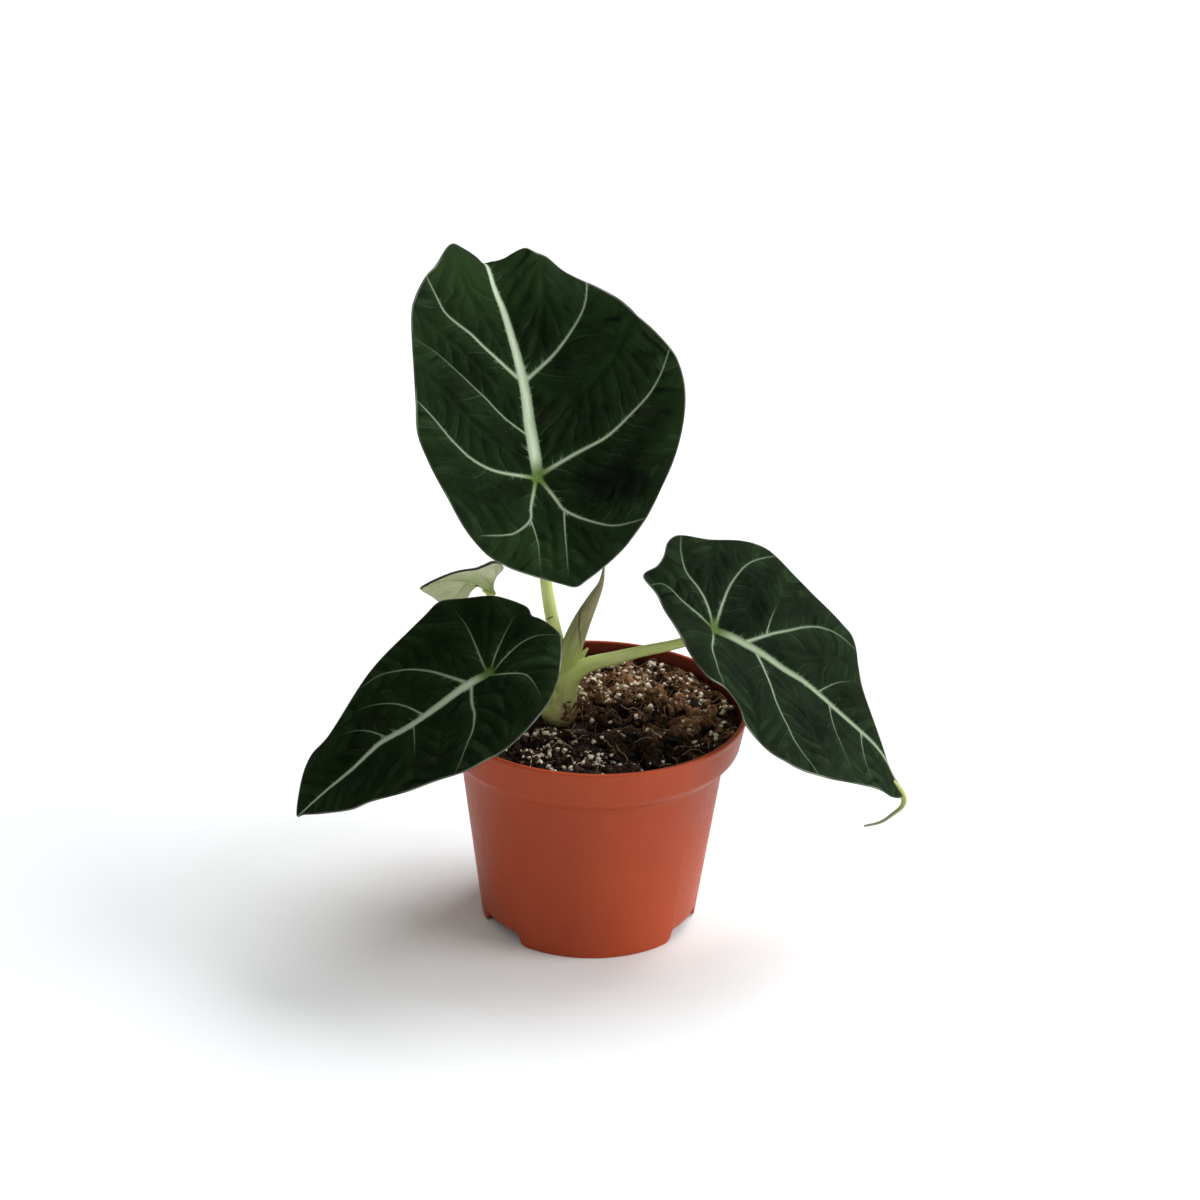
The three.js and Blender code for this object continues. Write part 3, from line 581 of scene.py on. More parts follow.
def blade_surface(blade, flat, edge):
    """Points of the blade's middle sheet and the directions that its upper side faces, from the flat
    points and small steps beside them."""
    along = unit(np.array(blade["along"]))
    across = unit(np.cross(blade["facing"], along))
    axes = np.stack([along, across, np.cross(along, across)])
    u, v = flat[:, 0], flat[:, 1]
    step = 0.2
    middle = bent_blade(blade, u, v, edge)
    du = bent_blade(blade, u + step, v, edge) - bent_blade(blade, u - step, v, edge)
    dv = bent_blade(blade, u, v + step, edge) - bent_blade(blade, u, v - step, edge)
    return np.array(blade["joint"]) + middle @ axes, unit(np.cross(du, dv)) @ axes


def nearest_vein(flat, veins):
    """For each flat point, what the nearest vein by its edge is like: distance from its centre line
    with the sign of the side, half width, distance along it, distance without sign, strength, and 1 for
    the first vein. Also how much farther the next vein is."""
    best, second = np.full(len(flat), 1e9), np.full(len(flat), 1e9)
    found = np.zeros((len(flat), 6))
    rows = np.arange(len(flat))
    for number, (line, half, strength) in enumerate(veins):
        step = np.diff(line, axis=0)
        long = np.linalg.norm(step, axis=1)
        run = np.concatenate([[0.0], np.cumsum(long)])
        off = flat[:, None] - line[None, :-1]
        share = np.clip((off * step).sum(2) / long**2, 0, 1)
        gap = np.linalg.norm(off - share[..., None] * step, axis=2)
        k = gap.argmin(1)
        distance, share = gap[rows, k], share[rows, k]
        width = half[k] + share * (half[k + 1] - half[k])
        force = strength[k] + share * (strength[k + 1] - strength[k])
        turn = step[k, 0] * off[rows, k, 1] - step[k, 1] * off[rows, k, 0]
        side = np.where(turn < 0, -distance, distance)
        first = np.full(len(flat), float(number == 0))
        here = np.stack([side, width, run[k] + share * long[k], distance, force, first], 1)
        nearer = distance - width < best
        second = np.where(nearer, best, np.minimum(second, distance - width))
        best = np.minimum(best, distance - width)
        found = np.where(nearer[:, None], here, found)
    return found, second - best


def main_veins(blade):
    """The drawn veins: smooth lines whose half width tapers evenly. The midrib narrows where it starts,
    the others flare there, and all pale towards their ends as run^1.5. Each goes on unseen past its
    end, as a hairline, so that the side veins beside it do not wind round that end."""
    veins = []
    for number, (start, end, pale, points) in enumerate(blade["veins"]):
        flare = -0.3 if number == 0 else 0.22
        line = evenly(smooth_line(points, 10), 24)
        run = np.linspace(0, 1, len(line))
        half = 0.5 * (start + (end - start) * run) * (1 + flare * np.exp(-run / 0.04))
        onward = unit(line[-1] - line[-3]) * np.linspace(0, 25, 6)[1:, None]
        line = np.vstack([line, line[-1] + onward])
        half = np.append(half, np.full(len(onward), 0.05))
        strength = blade.get("vein_strength", 1.0) * (1 - pale * run**1.5)
        veins.append((line, half, np.append(strength, np.zeros(len(onward)))))
    return veins


def side_vein_phase(vein, flat, seed):
    """Side veins lie where this is a multiple of their spacing: a side vein leaves its main vein at
    about 58 degrees and bends forward, so it started at along - 0.62 d - 0.01 d^2, d being the distance
    from the main vein; smooth noise shakes it."""
    d, (u, v) = vein[:, 3], flat.T
    shake = 2.4 * lumps(u, v, 13, seed) + 0.7 * lumps(u, v, 4, seed + 1)
    return vein[:, 2] - 0.62 * d - 0.01 * d * d + shake + 50


def flat_web(blade):
    """A blade laid flat: rings of points from the hub out to the outline, the hub last; how far out each
    lies, from 0 to 1; and the outline."""
    spokes, rings = blade["spokes"], blade["rings"]
    hub = np.array(blade["hub"], float)
    rim = evenly(smooth_line(blade["outline"], 16, closed=True), spokes, closed=True)
    if np.cross(rim, np.roll(rim, -1, axis=0)).sum() < 0:
        rim = rim[::-1]
    edge = np.linspace(0, 1, rings + 1)[1:]
    flat = (hub + edge[:, None, None] * (rim - hub)[None]).reshape(-1, 2)
    return np.vstack([flat, hub]), np.append(np.repeat(edge, spokes), 0.0), rim


def from_outline(flat, rim):
    """The distance of each flat point from the outline."""
    line = np.vstack([rim, rim[:1]])
    nothing = np.zeros(len(line))
    return nearest_vein(flat, [(line, nothing, nothing)])[0][:, 3]


def sheet_relief(flat, vein, phase, margin, open_room, seed):
    """How far the sheet stands out at each flat point, how deep it is sunk along the main veins, and how
    far their ribs stand out on the lower face. The sheet swells away from a main vein as 1 - exp(-d^2);
    pillows and pleats between the side veins go as |sin| of their phase; wrinkles are smooth noise;
    troughs and ribs go as exp(-d^2). All of it fades towards the outline."""
    u, v = flat.T
    inner = 1 - np.exp(-margin / 5)
    clear = np.clip(open_room / 4, 0, 1) * inner
    from_vein = np.maximum(vein[:, 3] - vein[:, 1], 0)
    swell = 1 - np.exp(-((from_vein / 2.5) ** 2))
    pillows = np.abs(np.sin(np.pi * phase / SIDE_VEINS)) ** 0.7 * swell * clear
    pleats = np.abs(np.sin(3 * np.pi * phase / SIDE_VEINS)) * swell * clear
    wrinkle = RELIEF["fine_wrinkle"] * lumps(u, v, 4.5, seed)
    wrinkle = wrinkle + RELIEF["wrinkle"] * lumps(u, v, 11, seed + 1)
    rise = RELIEF["swell"] * swell * inner + RELIEF["pillow"] * pillows + RELIEF["pleat"] * pleats
    trough = np.exp(-((vein[:, 3] / (vein[:, 1] + 0.5)) ** 2)) * inner
    ribs = np.minimum(vein[:, 1], 1.2) * np.exp(-((vein[:, 3] / (vein[:, 1] + 0.15)) ** 2))
    return rise + wrinkle * inner, RELIEF["trough"] * trough, RELIEF["rib"] * ribs * inner


def sheet_faces(rings, spokes):
    """The faces of a web with two sides, in five parts: the upper web, the lower web, the wall between
    them along the outline, and the upper and lower fans round the hub."""
    total = rings * spokes + 1
    grid = np.arange(total - 1).reshape(rings, spokes)
    web = grid_quads(rings, spokes)[:, [0, 3, 2, 1]]
    a, b = grid[-1], np.roll(grid[-1], -1)
    wall = np.stack([a, a + total, b + total, b], -1)
    upper_fan = fan(total - 1, grid[0], True)
    lower_fan = fan(2 * total - 1, grid[0] + total, False)
    return [web, web[:, ::-1] + total, wall, upper_fan, lower_fan]


def face_sides(blade, faces, flat, margin):
    """For each face, 0 for the upper side's material and 1 for the lower side's."""
    sides = np.repeat([0, 1, 0, 0, 1], [len(part) for part in faces])
    if "rolled" in blade:
        width, least = blade["rolled"]
        web = faces[0]
        at = web[:, 0]
        u, v = flat[at].T
        shown = (margin[at] < width) & (v > 0) & (u + v / 2 > least)
        sides[len(web) : 2 * len(web)][shown] = 0
    return sides


def upper_tone_and_painted_light(blade, flat):
    """The tone of the upper side: one for the blade, and bells for its patches, which are painted
    light and painted shade.
    """
    light = np.full(len(flat), blade["light"])
    for u, v, spread, amount in blade.get("patches", []):
        light += amount * bell(flat[:, 0], flat[:, 1], (u, v), (spread, spread))
    return light


def make_blade(name, seed, materials):
    """One blade: a web laid flat, bent, and given its relief once for each side."""
    blade = BLADES[name]
    flat, edge, rim = flat_web(blade)
    vein, open_room = nearest_vein(flat, main_veins(blade))
    margin = from_outline(flat, rim)
    phase = side_vein_phase(vein, flat, seed)

    middle, facing = blade_surface(blade, flat, edge)
    rise, trough, ribs = sheet_relief(flat, vein, phase, margin, open_room, seed)
    shift = (blade.get("relief", 1.0) * rise - trough)[:, None] * facing
    thick = (BLADE_EDGE + (BLADE_MIDDLE - BLADE_EDGE) * np.minimum(margin / 4, 1))[:, None]
    upper = middle + shift + 0.5 * thick * facing
    lower = middle + shift - (0.5 * thick + ribs[:, None]) * facing

    place = np.column_stack([flat, np.zeros(len(flat))])
    from_joint = np.hypot(flat[:, 0], flat[:, 1])
    # the painted grey sheen of the upper side, where a blade has one
    grey_sheen = np.full(len(flat), blade.get("grey_sheen", 0.0))
    attributes = {
        "flat": np.concatenate([place, place + (0, 0, LOWER_SIDE)]),
        "vein": twice(vein[:, :3]),
        "vein_more": twice(np.column_stack([vein[:, 3:5], phase])),
        "tone": twice(np.column_stack([margin, from_joint, open_room])),
        # the upper side's tone with its painted light and painted shade, the painted grey sheen, and the
        # midrib's brightness
        "light": twice(np.column_stack([upper_tone_and_painted_light(blade, flat), grey_sheen, blade["midrib"] * vein[:, 5]])),
    }
    points = np.concatenate([upper, lower])
    faces = sheet_faces(blade["rings"], blade["spokes"])
    sides = face_sides(blade, faces, flat, margin)
    new_piece("leaf_" + name, points, faces, materials, [name], attributes, sides)


# Pot ----------------------------------------------------------------------------------------------


def rounded(corners, steps=5):
    """A profile whose corners (radius, height, rounding) are each replaced by the curve
    (1-t)^2 a + 2t(1-t) c + t^2 b from a to b, points `rounding` before and after the corner c."""
    p = np.asarray(corners, float)
    line = [p[0, :2]]
    for before, here, after in zip(p[:-2], p[1:-1], p[2:]):
        c, size = here[:2], here[2]
        if size == 0:
            line.append(c)
            continue
        a = c + unit(before[:2] - c) * min(size, 0.48 * np.linalg.norm(before[:2] - c))
        b = c + unit(after[:2] - c) * min(size, 0.48 * np.linalg.norm(after[:2] - c))
        t = np.linspace(0, 1, steps)[:, None]
        line.extend((1 - t) ** 2 * a + 2 * t * (1 - t) * c + t**2 * b)
    line.append(p[-1, :2])
    return np.array(line)


def notch_height(turn):
    """How far the pot's lower edge is raised at each turn: an arch with a flat top, leaning sides and
    rounded feet, three times round."""
    half, top, flare, lean = FEET["width"] / 2, FEET["height"], FEET["flare"], FEET["lean"]
    height = np.zeros_like(turn)
    for k in range(FEET["count"]):
        centre = math.radians(FEET["first"] + 360 / FEET["count"] * k - 90)
        x = np.abs(POT["base"] * np.sin(turn - centre))
        foot = flare * (1 - np.sqrt(np.clip((x - half) / flare, 0, 1))) ** 2
        side = flare + (half - x) * (top - flare) / lean
        arch = np.where(x > half, foot, np.minimum(side, top))
        height = np.maximum(height, np.where(np.cos(turn - centre) > 0, arch, 0))
    return height


def pot_corners():
    """The pot's profile as corners (radius, height, rounding): from the axis under the floor out to the
    foot, up the outside, over the rim and down the inside to the axis."""
    top, base, wall = POT["height"], POT["base"], POT["wall"]
    floor_top = POT["floor"] + wall
    body_top, collar_foot = top - POT["shoulder_height"], top - POT["collar_height"]
    taper = (POT["body"] - base) / body_top
    inner_foot = base + taper * floor_top - wall
    return [
        (0, POT["floor"], 0), (base - wall, POT["floor"], 0.4),
        (base - wall, 2.6, 0), (base - wall, 0, 0.3), (base, 0, 0.5), (base + taper * 2.6, 2.6, 0),
        (base + taper * FOOT_RING, FOOT_RING, 0), (POT["body"] - taper * 25, body_top - 25, 0),
        (POT["body"], body_top, 2.0), (POT["shoulder"], (body_top + collar_foot) / 2, 1.6),
        (POT["collar"], collar_foot, 1.2), (POT["collar"] + 2.2, top - 2.6, 0.5),
        (POT["rim"], top - 1.6, 0.6), (POT["rim"], top, 0.9), (POT["rim"] - POT["rim_wall"], top, 0.9),
        (POT["collar"] - wall, collar_foot, 2.0), (POT["body"] - wall, body_top, 2.0),
        (inner_foot, floor_top, 1.6), (DRAIN["ring"], floor_top, 0), (0, floor_top, 0),
    ]


def cut_drainage(pot):
    """A ring of round holes and one in the middle, cut through the pot's floor."""
    turns = [2 * math.pi * k / DRAIN["count"] for k in range(DRAIN["count"])]
    spots = [(DRAIN["radius"], DRAIN["ring"], turn) for turn in turns]
    spots.append((DRAIN["centre"], 0.0, 0.0))
    bar, bar_faces = turned([(0, 2), (1, 2), (1, 10), (0, 10)], 40)
    holes = np.vstack([bar * (r, r, 1) + (d * math.cos(a), d * math.sin(a), 0) for r, d, a in spots])
    faces = [part + k * len(bar) for k in range(len(spots)) for part in bar_faces]
    mesh = bpy.data.meshes.new("drain_holes")
    mesh.from_pydata(moved_to_row(holes), [], as_lists(faces))
    cutter = bpy.data.objects.new("drain_holes", mesh)
    bpy.context.scene.collection.objects.link(cutter)
    cut = pot.modifiers.new("drain_holes", "BOOLEAN")
    cut.operation, cut.object, cut.solver = "DIFFERENCE", cutter, "EXACT"
    bpy.context.view_layer.update()
    graph = bpy.context.evaluated_depsgraph_get()
    finished = bpy.data.meshes.new_from_object(pot.evaluated_get(graph))
    pot.modifiers.clear()
    pot.data = finished
    bpy.data.objects.remove(cutter)


def make_pot(material):
    """The pot: its profile turned about the axis, with the foot raised into arches."""
    points, faces = turned(rounded(pot_corners()), POT["turns"])
    x, y, z = points.T
    radius = np.hypot(x, y)
    outer = radius > POT["base"] - POT["wall"] - 0.5
    foot = np.where(radius > POT["base"] - 0.3 * POT["wall"], FOOT_RING, POT["floor"])
    raised = notch_height(np.arctan2(y, x))
    bent = np.where(outer & (z < foot - 0.4), raised + z * (foot - raised) / foot, z)
    points = np.column_stack([x, y, bent])
    cut_drainage(new_piece("nursery_pot", points, faces, [material], ["pot"]))


# Soil ---------------------------------------------------------------------------------------------


def soil_height(x, y):
    """The soil's surface: a low mound round the stems, a slope up to the front, a heap at the back that
    rises as 3t^2 - 2t^3, and two sets of waves."""
    d = np.hypot(x - STEM[0], y - STEM[1])
    broad = 0.65 * np.sin(0.19 * x + 1.3) * np.sin(0.23 * y + 0.4)
    fine = 0.45 * np.sin(0.53 * x + 0.31 * y) * np.sin(0.61 * y - 0.27 * x + 2)
    mound = SOIL["mound"] * np.exp(-((d / SOIL["mound_spread"]) ** 2))
    t = np.clip((y - SOIL["heap_from"]) / (SOIL["heap_to"] - SOIL["heap_from"]), 0, 1)
    heap = SOIL["heap"] * t * t * (3 - 2 * t)
    return SOIL["level"] + mound + heap - SOIL["front_rise"] * y + broad + fine


def crumbly(x, y):
    """Height of the loose top: lumps of three sizes, and hollows where a wave runs low. The hollows are
    wider and deeper beside the stem, though not against it, and at the front right."""
    from_stem = np.hypot(x - STEM[0], y - STEM[1])
    beside_stem = bell(x, y, (15, 8), (18, 10)) * (1 - np.exp(-((from_stem / 13) ** 2)))
    front_right = bell(x, y, (28, -26), (18, 13))
    hollow = np.minimum(lumps(x, y, 6.0, 6) + 0.15 - 0.85 * beside_stem - 0.4 * front_right, 0)
    large, middling, small = lumps(x, y, 7.5, 3), lumps(x, y, 3.2, 4), lumps(x, y, 1.5, 5)
    return 1.3 * large + 0.85 * middling + 0.4 * small + 5.5 * hollow


def out_of_hollows(x, y):
    """How far out of its hollows the soil lies, from 0 in them to 1 on its lumps. It places the loose
    bits, and the tones made from it paint shade into the hollows.
    """
    return np.clip((crumbly(x, y) + 1.8) / 3.3, 0.03, 1) ** 1.4


def make_soil_bed(material):
    """The root ball: a fine polar sheet for its top, and walls that follow the pot's inside."""
    rings, turns = 96, 400
    foot, level = SOIL["foot"], SOIL["level"]
    circles = np.linspace(SOIL["edge"], 0, rings + 1)
    points, faces = turned([(0, foot[1]), foot, *SOIL_WALL[:2], *((r, level) for r in circles)], turns)
    upper = points[:, 2] > level - 0.01
    x, y = points[upper, 0], points[upper, 1]
    calm = np.clip((SOIL["edge"] - np.hypot(x, y)) / 2, 0.2, 1)
    points[upper, 2] = soil_height(x, y) + crumbly(x, y) * calm
    tone = np.zeros(len(points))
    # painted shade: the soil's top darkens into its hollows
    tone[upper] = out_of_hollows(x, y) ** 1.5
    new_piece("soil_bed", points, faces, [material], ["soil"], {"grain_tone_and_painted_shade": tone})


def soil_places(rng, count, favour):
    """Random places on the soil, off the stem, kept with a chance of favour(x, y) from 0 to 1."""
    tries = count * 8
    d, turn = SOIL["bits_edge"] * np.sqrt(rng.random(tries)), 2 * np.pi * rng.random(tries)
    x, y = d * np.cos(turn), d * np.sin(turn)
    off_stem = np.hypot(x - STEM[0], y - STEM[1]) > SOIL["stem_room"]
    keep = (rng.random(tries) < favour(x, y)) & off_stem
    x, y = x[keep][:count], y[keep][:count]
    return np.stack([x, y, soil_height(x, y) + crumbly(x, y) * 0.8], 1)


def everywhere(x, y):
    """Peat lies all over."""
    return np.full_like(x, 0.9)


def perlite_share(x, y):
    """Perlite lies thickest at the back and at the front left, and thins out at the front right."""
    back = 1.35 / (1 + np.exp(-(y - 6 - 0.15 * x) / 8)) + 1 / (1 + np.exp(-(y - 40) / 4))
    front_left = bell(x, y, (-20, -36), (24, 18))
    drift = 0.6 + 0.75 * lumps(x, y, 6, 21)
    return np.clip((0.22 + 0.75 * back + 0.8 * front_left) * drift * out_of_hollows(x, y), 0, 1)


def fibre_share(x, y):
    """Coir lies thickest at the back right."""
    return (0.1 + 0.9 / (1 + np.exp(-(y + 0.5 * x - 9) / 8))) * (0.15 + 0.85 * out_of_hollows(x, y))


def bark_share(x, y):
    """Bark lies thickest at the front and right."""
    return np.clip(0.02 + 0.9 / (1 + np.exp((y - 0.3 * x + 6) / 7)), 0, 1)


def clod_share(x, y):
    """Clods of coir and peat lie thickest at the back and right, out of the hollows."""
    return np.clip(0.25 + 0.75 / (1 + np.exp(-(y + 0.5 * x) / 10)), 0, 1) * out_of_hollows(x, y)


def kept_inside(points):
    """Points past the pot's inner wall are drawn in to it; its radius grows with the height."""
    radii, heights = np.array(SOIL_WALL).T
    past = np.maximum(np.hypot(points[:, 0], points[:, 1]) / np.interp(points[:, 2], heights, radii), 1)
    return points / np.stack([past, past, np.ones_like(past)], 1)


def make_crumbs(name, rng, count, favour, material, shape, size, flatten, rough, lift,
                tilt=1.0, stretch=1.0, smooth=True):
    """Loose bits of one kind on the soil, most of them near the least size, each with a random tone and
    with painted shade in the hollows. flatten and stretch scale their height and length; lift is how far
    up they stand, as a share of their size."""
    places = soil_places(rng, count, favour)
    count = len(places)
    big = size[0] + (size[1] - size[0]) * rng.random(count) ** 2.7
    scale = np.stack([big * stretch, big, big * flatten], 1) * rng.uniform(0.75, 1.2, (count, 3))
    places = places + np.stack([np.zeros(count), np.zeros(count), lift * big], 1)
    points, faces = scattered(shape, places, scale, rng, rough, tilt)
    # a random tone, darkened by painted shade in the hollows
    tone = rng.random(count) * out_of_hollows(places[:, 0], places[:, 1])
    attributes = {"grain_tone_and_painted_shade": np.repeat(tone, len(shape[0]))}
    new_piece(name, kept_inside(points), faces, [material], (), attributes, None, smooth)


def make_fibres(name, rng, count, favour, material, length, radius):
    """Threads: each centre line starts on the soil, runs along a heading that turns evenly, and rises
    in a low arc; four sides all along."""
    steps, sides = 8, 4
    start = soil_places(rng, count, favour)
    count = len(start)
    reach = rng.uniform(*length, (count, 1))
    part = np.linspace(0, 1, steps)
    heading = rng.uniform(0, 2 * np.pi, (count, 1)) + rng.uniform(-1.3, 1.3, (count, 1)) * part
    stride = reach / (steps - 1)
    x = start[:, :1] + np.cumsum(np.cos(heading), 1) * stride
    y = start[:, 1:2] + np.cumsum(np.sin(heading), 1) * stride
    far = np.maximum(np.hypot(x, y) / SOIL["fibres_edge"], 1)
    x, y = x / far, y / far
    arc = rng.uniform(0.2, 1.6, (count, 1)) * np.sin(np.pi * part) + 0.25
    z = soil_height(x, y) + crumbly(x, y) * 0.7 + arc
    line = np.stack([x, y, z], -1)
    tangent = unit(np.gradient(line, axis=1))
    normal = unit(np.cross(tangent, [0.0, 0.0, 1.0]))
    binormal = np.cross(normal, tangent)
    turn = np.linspace(0, 2 * np.pi, sides, endpoint=False)
    thick = rng.uniform(*radius, (count, 1)) * (1.05 - part)[None] ** 0.4
    across, up = np.cos(turn)[:, None] * normal[:, :, None], np.sin(turn)[:, None] * binormal[:, :, None]
    ring = line[:, :, None] + thick[..., None, None] * (across - up)
    points = kept_inside(ring.reshape(-1, 3))
    each = steps * sides
    one = grid_quads(steps, sides)
    ends = np.array([[3, 2, 1, 0], [each - 4, each - 3, each - 2, each - 1]])
    faces = (np.vstack([one, ends])[None] + (np.arange(count) * each)[:, None, None]).reshape(-1, 4)
    # a random tone, darkened by painted shade in the hollows
    tone = np.repeat(rng.random(count) * (0.3 + 0.7 * out_of_hollows(start[:, 0], start[:, 1])), each)
    new_piece(name, points, faces, [material], (), {"grain_tone_and_painted_shade": tone})


# Materials ----------------------------------------------------------------------------------------


class Maker:
    """Adds nodes to one tree. What feeds a socket is a number, a colour or another node's socket."""

    def __init__(self, tree):
        self.tree = tree

    def node(self, kind, feeds=None, **settings):
        """A new node, with its settings made and its sockets fed."""
        made = self.tree.nodes.new(kind)
        for key, value in settings.items():
            setattr(made, key, value)
        for key, value in (feeds or {}).items():
            if isinstance(value, bpy.types.NodeSocket):
                self.tree.links.new(value, made.inputs[key])
            elif isinstance(value, tuple) and len(value) == 3 and made.inputs[key].type == "RGBA":
                made.inputs[key].default_value = (*value, 1.0)
            else:
                made.inputs[key].default_value = value
        return made

    def math(self, operation, a, b=0.0, clamp=False):
        """One operation on a, or on a and b."""
        return self.node("ShaderNodeMath", {0: a, 1: b}, operation=operation, use_clamp=clamp).outputs[0]

    def times(self, first, *others):
        """The product of all that is given."""
        for other in others:
            first = self.math("MULTIPLY", first, other)
        return first

    def shaken(self, value, noise, amount):
        """value, moved by up to half of amount either way as the noise runs from 0 to 1."""
        return self.math("ADD", value, self.times(self.math("SUBTRACT", noise, 0.5), amount))

    def mix(self, share, low, high):
        """low where the share is 0 and high where it is 1, both colours."""
        return self.node("ShaderNodeMix", {0: share, 6: low, 7: high}, data_type="RGBA").outputs[2]

    def blend(self, value, from_low, from_high, to_low=0.0, to_high=1.0):
        """A smooth step from to_low to to_high as the value goes from from_low to from_high."""
        feeds = {0: value, 1: from_low, 2: from_high, 3: to_low, 4: to_high}
        return self.node("ShaderNodeMapRange", feeds, interpolation_type="SMOOTHSTEP").outputs[0]

    def noise(self, vector, scale, detail=3.0, rough=0.55, distortion=0.0):
        """Smooth noise from 0 to 1 with layers of finer detail."""
        feeds = {"Vector": vector, "Scale": scale, "Detail": detail, "Roughness": rough}
        return self.node("ShaderNodeTexNoise", {**feeds, "Distortion": distortion}).outputs[0]

    def stretched(self, vector, scale):
        """A vector times a scale for each axis."""
        return self.node("ShaderNodeVectorMath", {0: vector, 1: scale}, operation="MULTIPLY").outputs[0]

    def attribute(self, name, output="Vector"):
        """What new_piece() kept at the mesh's points under this name."""
        return self.node("ShaderNodeAttribute", attribute_name=name).outputs[output]

    def place(self):
        """The point's place in the row frame, in metres."""
        return self.node("ShaderNodeTexCoord").outputs["Object"]

    def split(self, vector):
        """A vector's three parts."""
        return self.node("ShaderNodeSeparateXYZ", {0: vector}).outputs

    def group(self, tree, feeds):
        """The outputs of a node group, with its inputs fed."""
        return self.node("ShaderNodeGroup", feeds, node_tree=tree).outputs


def new_group(name, inputs, outputs):
    """An empty shader node group with named sockets. Returns it, its Maker, its inputs, and a function
    that feeds an output."""
    tree = bpy.data.node_groups.new(name, "ShaderNodeTree")
    for socket, kind, value in inputs:
        made = tree.interface.new_socket(name=socket, in_out="INPUT", socket_type="NodeSocket" + kind)
        if value is not None:
            made.default_value = value
    for socket, kind in outputs:
        tree.interface.new_socket(name=socket, in_out="OUTPUT", socket_type="NodeSocket" + kind)
    maker = Maker(tree)
    entry = tree.nodes.new("NodeGroupInput").outputs
    leave = tree.nodes.new("NodeGroupOutput").inputs
    return tree, maker, entry, lambda key, value: tree.links.new(value, leave[key])


def new_material(name, **constants):
    """A material with one Principled shader, its constant sockets set. Returns it, its Maker, and a
    function that feeds a socket of the shader."""
    material = bpy.data.materials.new(name)
    material.use_nodes = True
    tree = material.node_tree
    shader = tree.nodes["Principled BSDF"]
    for key, value in constants.items():
        shader.inputs[key.replace("_", " ")].default_value = value
    return material, Maker(tree), lambda key, value: tree.links.new(value, shader.inputs[key])


def vein_mask_group():
    """Mask is 1 on a vein, where the distance from its centre line, less its half width and the length of
    the barbs there, is under 0, and 0 beside it. A barb stands where noise along the vein is high, and
    leans forward. The mask is off where signed and plain distance disagree, half way between veins.
    Core goes from 0 at a vein's edge to 1 at its centre line."""
    tree, m, entry, leave = new_group(
        "vein_mask",
        [("Vein", "Vector", None), ("More", "Vector", None), ("Place", "Vector", None),
         ("Feather", "Float", 0.2), ("Shake", "Float", 0.2), ("Barbs", "Float", 2.0)],
        [("Mask", "Float"), ("Core", "Float")],
    )
    side, half, along = m.split(entry["Vein"])
    reach, strength, _ = m.split(entry["More"])
    away = m.math("ABSOLUTE", side)
    start = m.math("SUBTRACT", along, m.times(away, 0.6))
    which = m.times(m.math("SIGN", side), 9.0)
    spot = m.node("ShaderNodeCombineXYZ", {0: start, 1: which, 2: 0.0}).outputs[0]
    spikes = m.blend(m.noise(spot, 1.7, 2.0, 0.6), 0.6, 0.76)
    barb = m.times(spikes, entry["Barbs"], m.math("MINIMUM", half, 1.0))
    gap = m.math("SUBTRACT", m.math("SUBTRACT", away, half), barb)
    gap = m.shaken(gap, m.noise(entry["Place"], 2.0, 3.0), entry["Shake"])
    mask = m.blend(m.math("DIVIDE", gap, entry["Feather"]), 1.0, -1.0)
    near = m.blend(m.math("SUBTRACT", reach, away), 1.1, 0.75)
    paler = m.blend(away, m.math("ADD", half, 1.6), half, 0.35, 1.0)
    leave("Mask", m.times(mask, near, strength, paler))
    leave("Core", m.blend(m.math("DIVIDE", away, m.math("ADD", half, 0.05)), 0.95, 0.1))
    return tree


def side_vein_group():
    """Side veins and what lies between them, from their phase: a line where the distance from the
    nearest multiple of the spacing is under the half width, fading away from the main vein; a strip of
    painted light on the forward slope of each swelling, where the sine of the phase is high; and a
    crease of painted shade behind it, where that is low. Broad noise leaves some of them out."""
    tree, m, entry, leave = new_group(
        "side_veins",
        [("More", "Vector", None), ("Tone", "Vector", None), ("Place", "Vector", None),
         ("Spacing", "Float", SIDE_VEINS), ("Half Width", "Float", 0.2), ("Fade", "Float", 14.0)],
        [("Line", "Float"), ("Painted Light", "Float"), ("Painted Shade", "Float")],
    )
    reach, _, phase = m.split(entry["More"])
    room = m.split(entry["Tone"])[2]
    clear = m.blend(room, 0.4, 3.0)
    away = m.math("PINGPONG", phase, m.times(entry["Spacing"], 0.5))
    width = m.times(entry["Half Width"], m.noise(entry["Place"], 0.35, 2.0))
    line = m.blend(m.math("SUBTRACT", away, width), 0.4, -0.1)
    fading = m.blend(reach, entry["Fade"], 1.0, 0.12, 1.0)
    patchy = m.blend(m.noise(entry["Place"], 0.07, 3.0), 0.42, 0.62)
    leave("Line", m.times(line, fading, clear, patchy))
    # painted light on the forward slope of each swelling, and painted shade in the crease behind it
    wave = m.math("SINE", m.times(m.math("DIVIDE", phase, entry["Spacing"]), 2 * math.pi))
    leave("Painted Light", m.times(m.blend(wave, 0.1, 0.95), clear, patchy))
    creased = m.blend(m.noise(entry["Place"], 0.05, 2.0), 0.5, 0.66)
    leave("Painted Shade", m.times(m.blend(wave, -0.45, -0.95), clear, creased))
    return tree


